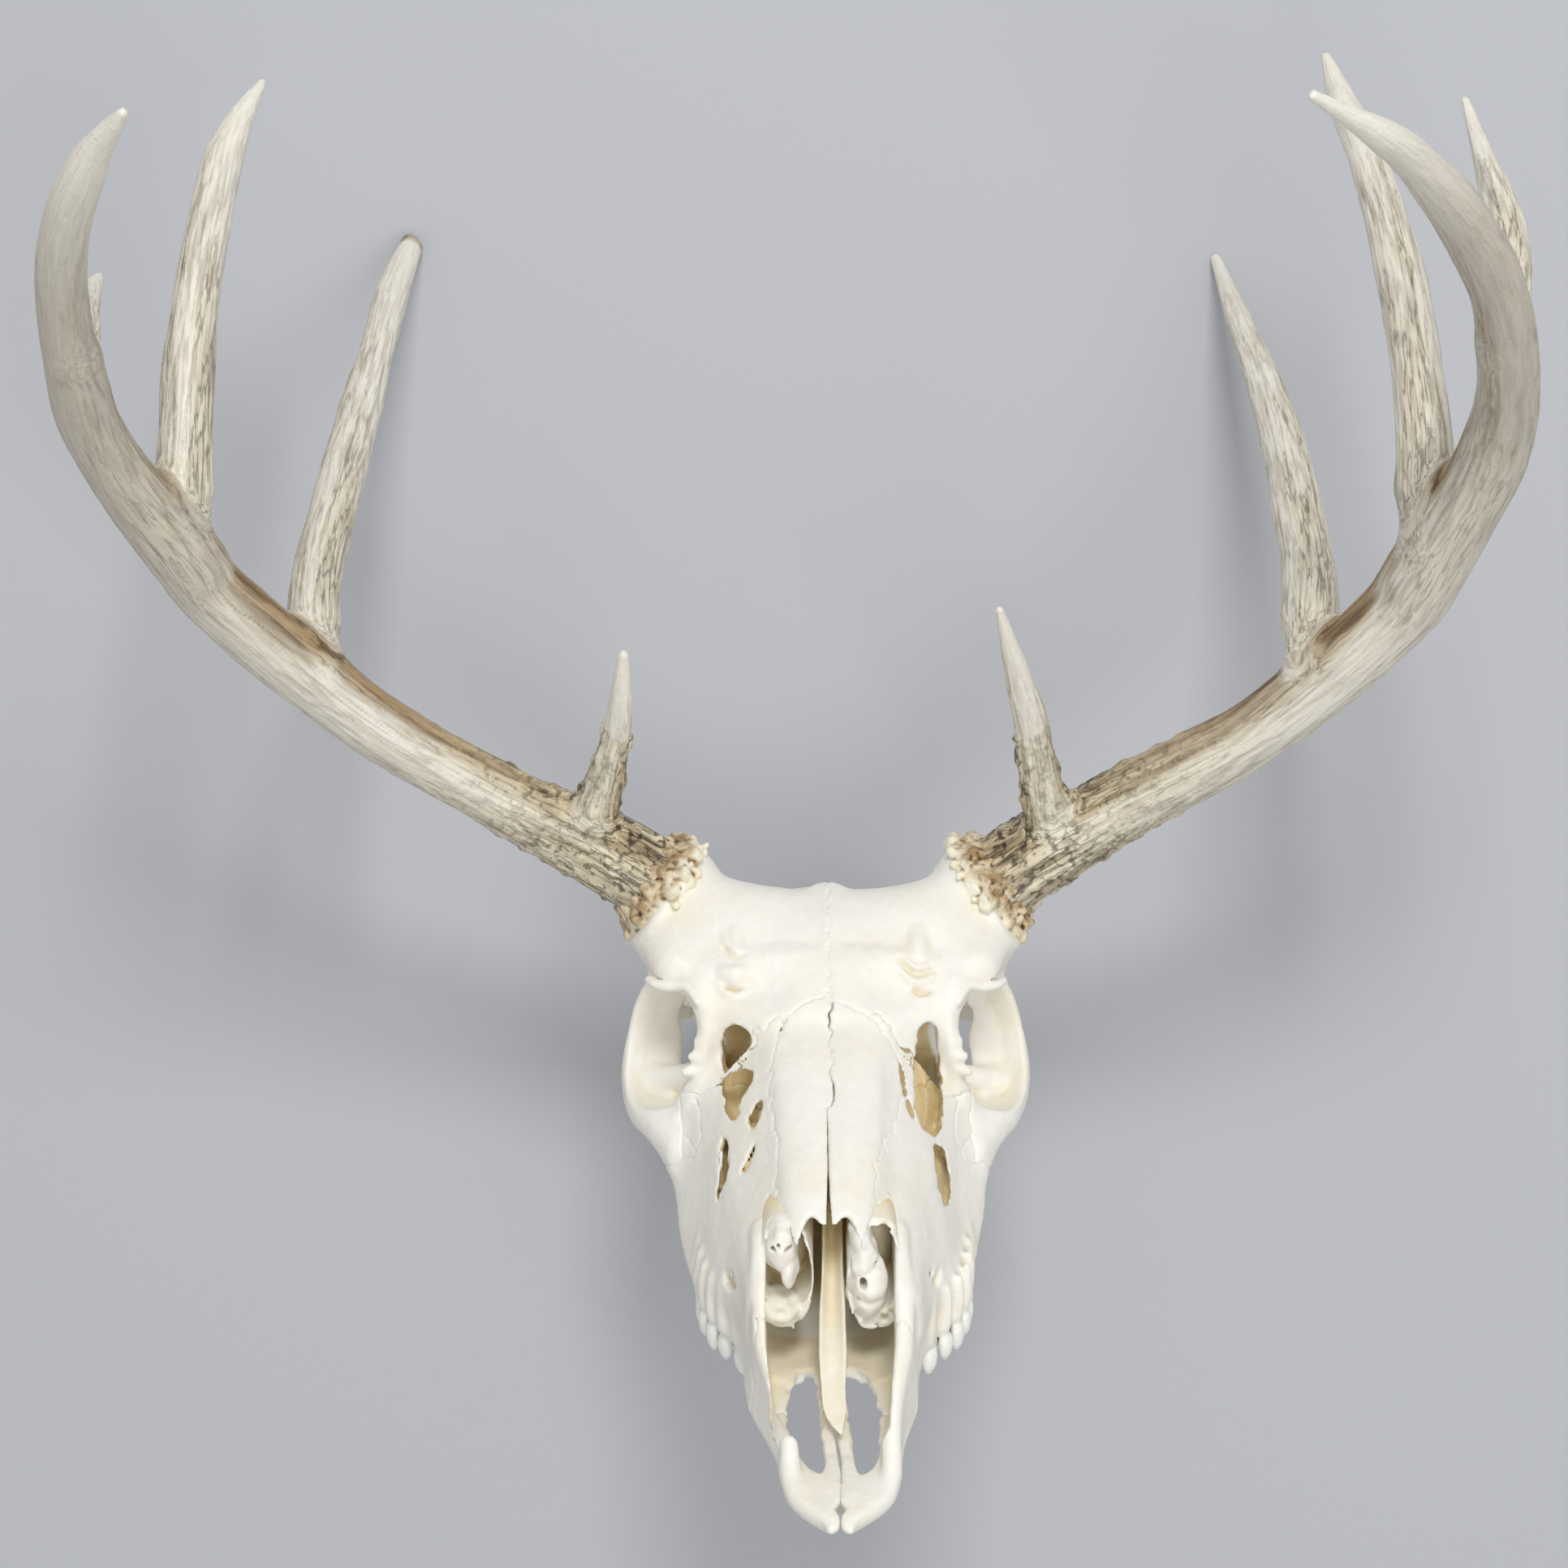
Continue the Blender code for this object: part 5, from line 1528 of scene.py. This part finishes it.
def makeFinish(name, finish):
    material, tree, shader = blankMaterial(name, finish["roughness"])
    sources = {"place": addNode(tree, "TexCoord", out="Object")}
    masks = {}
    for label, (low, high) in finish["attributes"].items():
        value = addNode(tree, "Attribute", out="Fac", attribute_name=label)
        masks[label] = addNode(tree, "MapRange", {"Value": value, "From Min": low, "From Max": high})
    for label, (kind, source, scale, detail, low, high) in finish["textures"].items():
        if source not in sources:
            sources[source] = addNode(tree, "Attribute", out="Vector", attribute_name=source)
        value = addNode(tree, kind, {"Vector": sources[source], "Scale": scale, "Detail": detail})
        masks[label] = addNode(tree, "MapRange", {"Value": value, "From Min": low, "From Max": high})
    colour = hexColour(finish["base"])
    for tint, factor, *labels in finish["layers"]:
        for label in labels:
            factor = addNode(tree, "Math", {0: masks[label], 1: factor}, operation="MULTIPLY", use_clamp=True)
        colour = addNode(tree, "Mix", {0: factor, 6: colour, 7: hexColour(tint)}, 2, data_type="RGBA")
    tree.links.new(colour, shader.inputs["Base Color"])
    bump = {}
    for label, distance, strength in finish["bumps"]:
        bump |= {"Height": masks[label], "Distance": distance, "Strength": strength}
        bump["Normal"] = addNode(tree, "Bump", bump)
    tree.links.new(bump["Normal"], shader.inputs["Normal"])
    for socket, value in finish["sockets"].items():
        shader.inputs[socket].default_value = value
    return material


bone = makeFinish("bleachedBone", bleachedBone)
antlerBone = makeFinish("rubbedAntler", rubbedAntler)
pearls = makeFinish("pearledBurr", pearledBurr)
skull, blank = buildSkull()
skullPieces(skull, blank, bone)
for word, side in sides.items():
    bonePiece("turbinate" + word.title(), turbinate(word, side), "turbinate_" + word, bone)
    makeAntler(word, antlerBone)
    makeBurr(word, pearls)
bonePiece("septum", septumField(), "vomer", bone)


def makeFloor():
    mesh = bpy.data.meshes.new("floor")
    mesh.from_pydata([(-3, -3, 0), (3, -3, 0), (3, 3, 0), (-3, 3, 0)], [], [(0, 1, 2, 3)])
    mesh.materials.append(blankMaterial("paleFloor", 0.8, "#B9BBC0")[0])
    floor = bpy.data.objects.new("floor", mesh)
    bpy.context.scene.collection.objects.link(floor)


def addLight(name, place, target, size, power):
    light = bpy.data.lights.new(name, "AREA")
    light.size = size
    light.energy = power
    lamp = bpy.data.objects.new(name, light)
    lamp.location = place
    lamp.rotation_euler = (Vector(target) - Vector(place)).to_track_quat("-Z", "Y").to_euler()
    bpy.context.scene.collection.objects.link(lamp)


def makeCamera():
    # Straight over the face, a metre above the floor, which gives the picture's field of view
    data = bpy.data.cameras.new("camera")
    data.sensor_width = 36
    data.lens = 70.06
    camera = bpy.data.objects.new("camera", data)
    camera.location = (-0.00395, -0.0124, 1.0)
    bpy.context.scene.collection.objects.link(camera)
    bpy.context.scene.camera = camera


makeFloor()
makeCamera()
addLight("key", (0.12, 0.95, 1.55), (0, -0.05, 0.12), 0.45, 13)
addLight("front", (0.35, -0.55, 1.55), (0, -0.1, 0.15), 0.6, 5)
world = bpy.data.worlds.new("studio")
world.use_nodes = True
world.node_tree.nodes["Background"].inputs["Color"].default_value = (1, 1, 1, 1)
world.node_tree.nodes["Background"].inputs["Strength"].default_value = 0.56
bpy.context.scene.world = world
bpy.context.scene.view_settings.view_transform = "Standard"
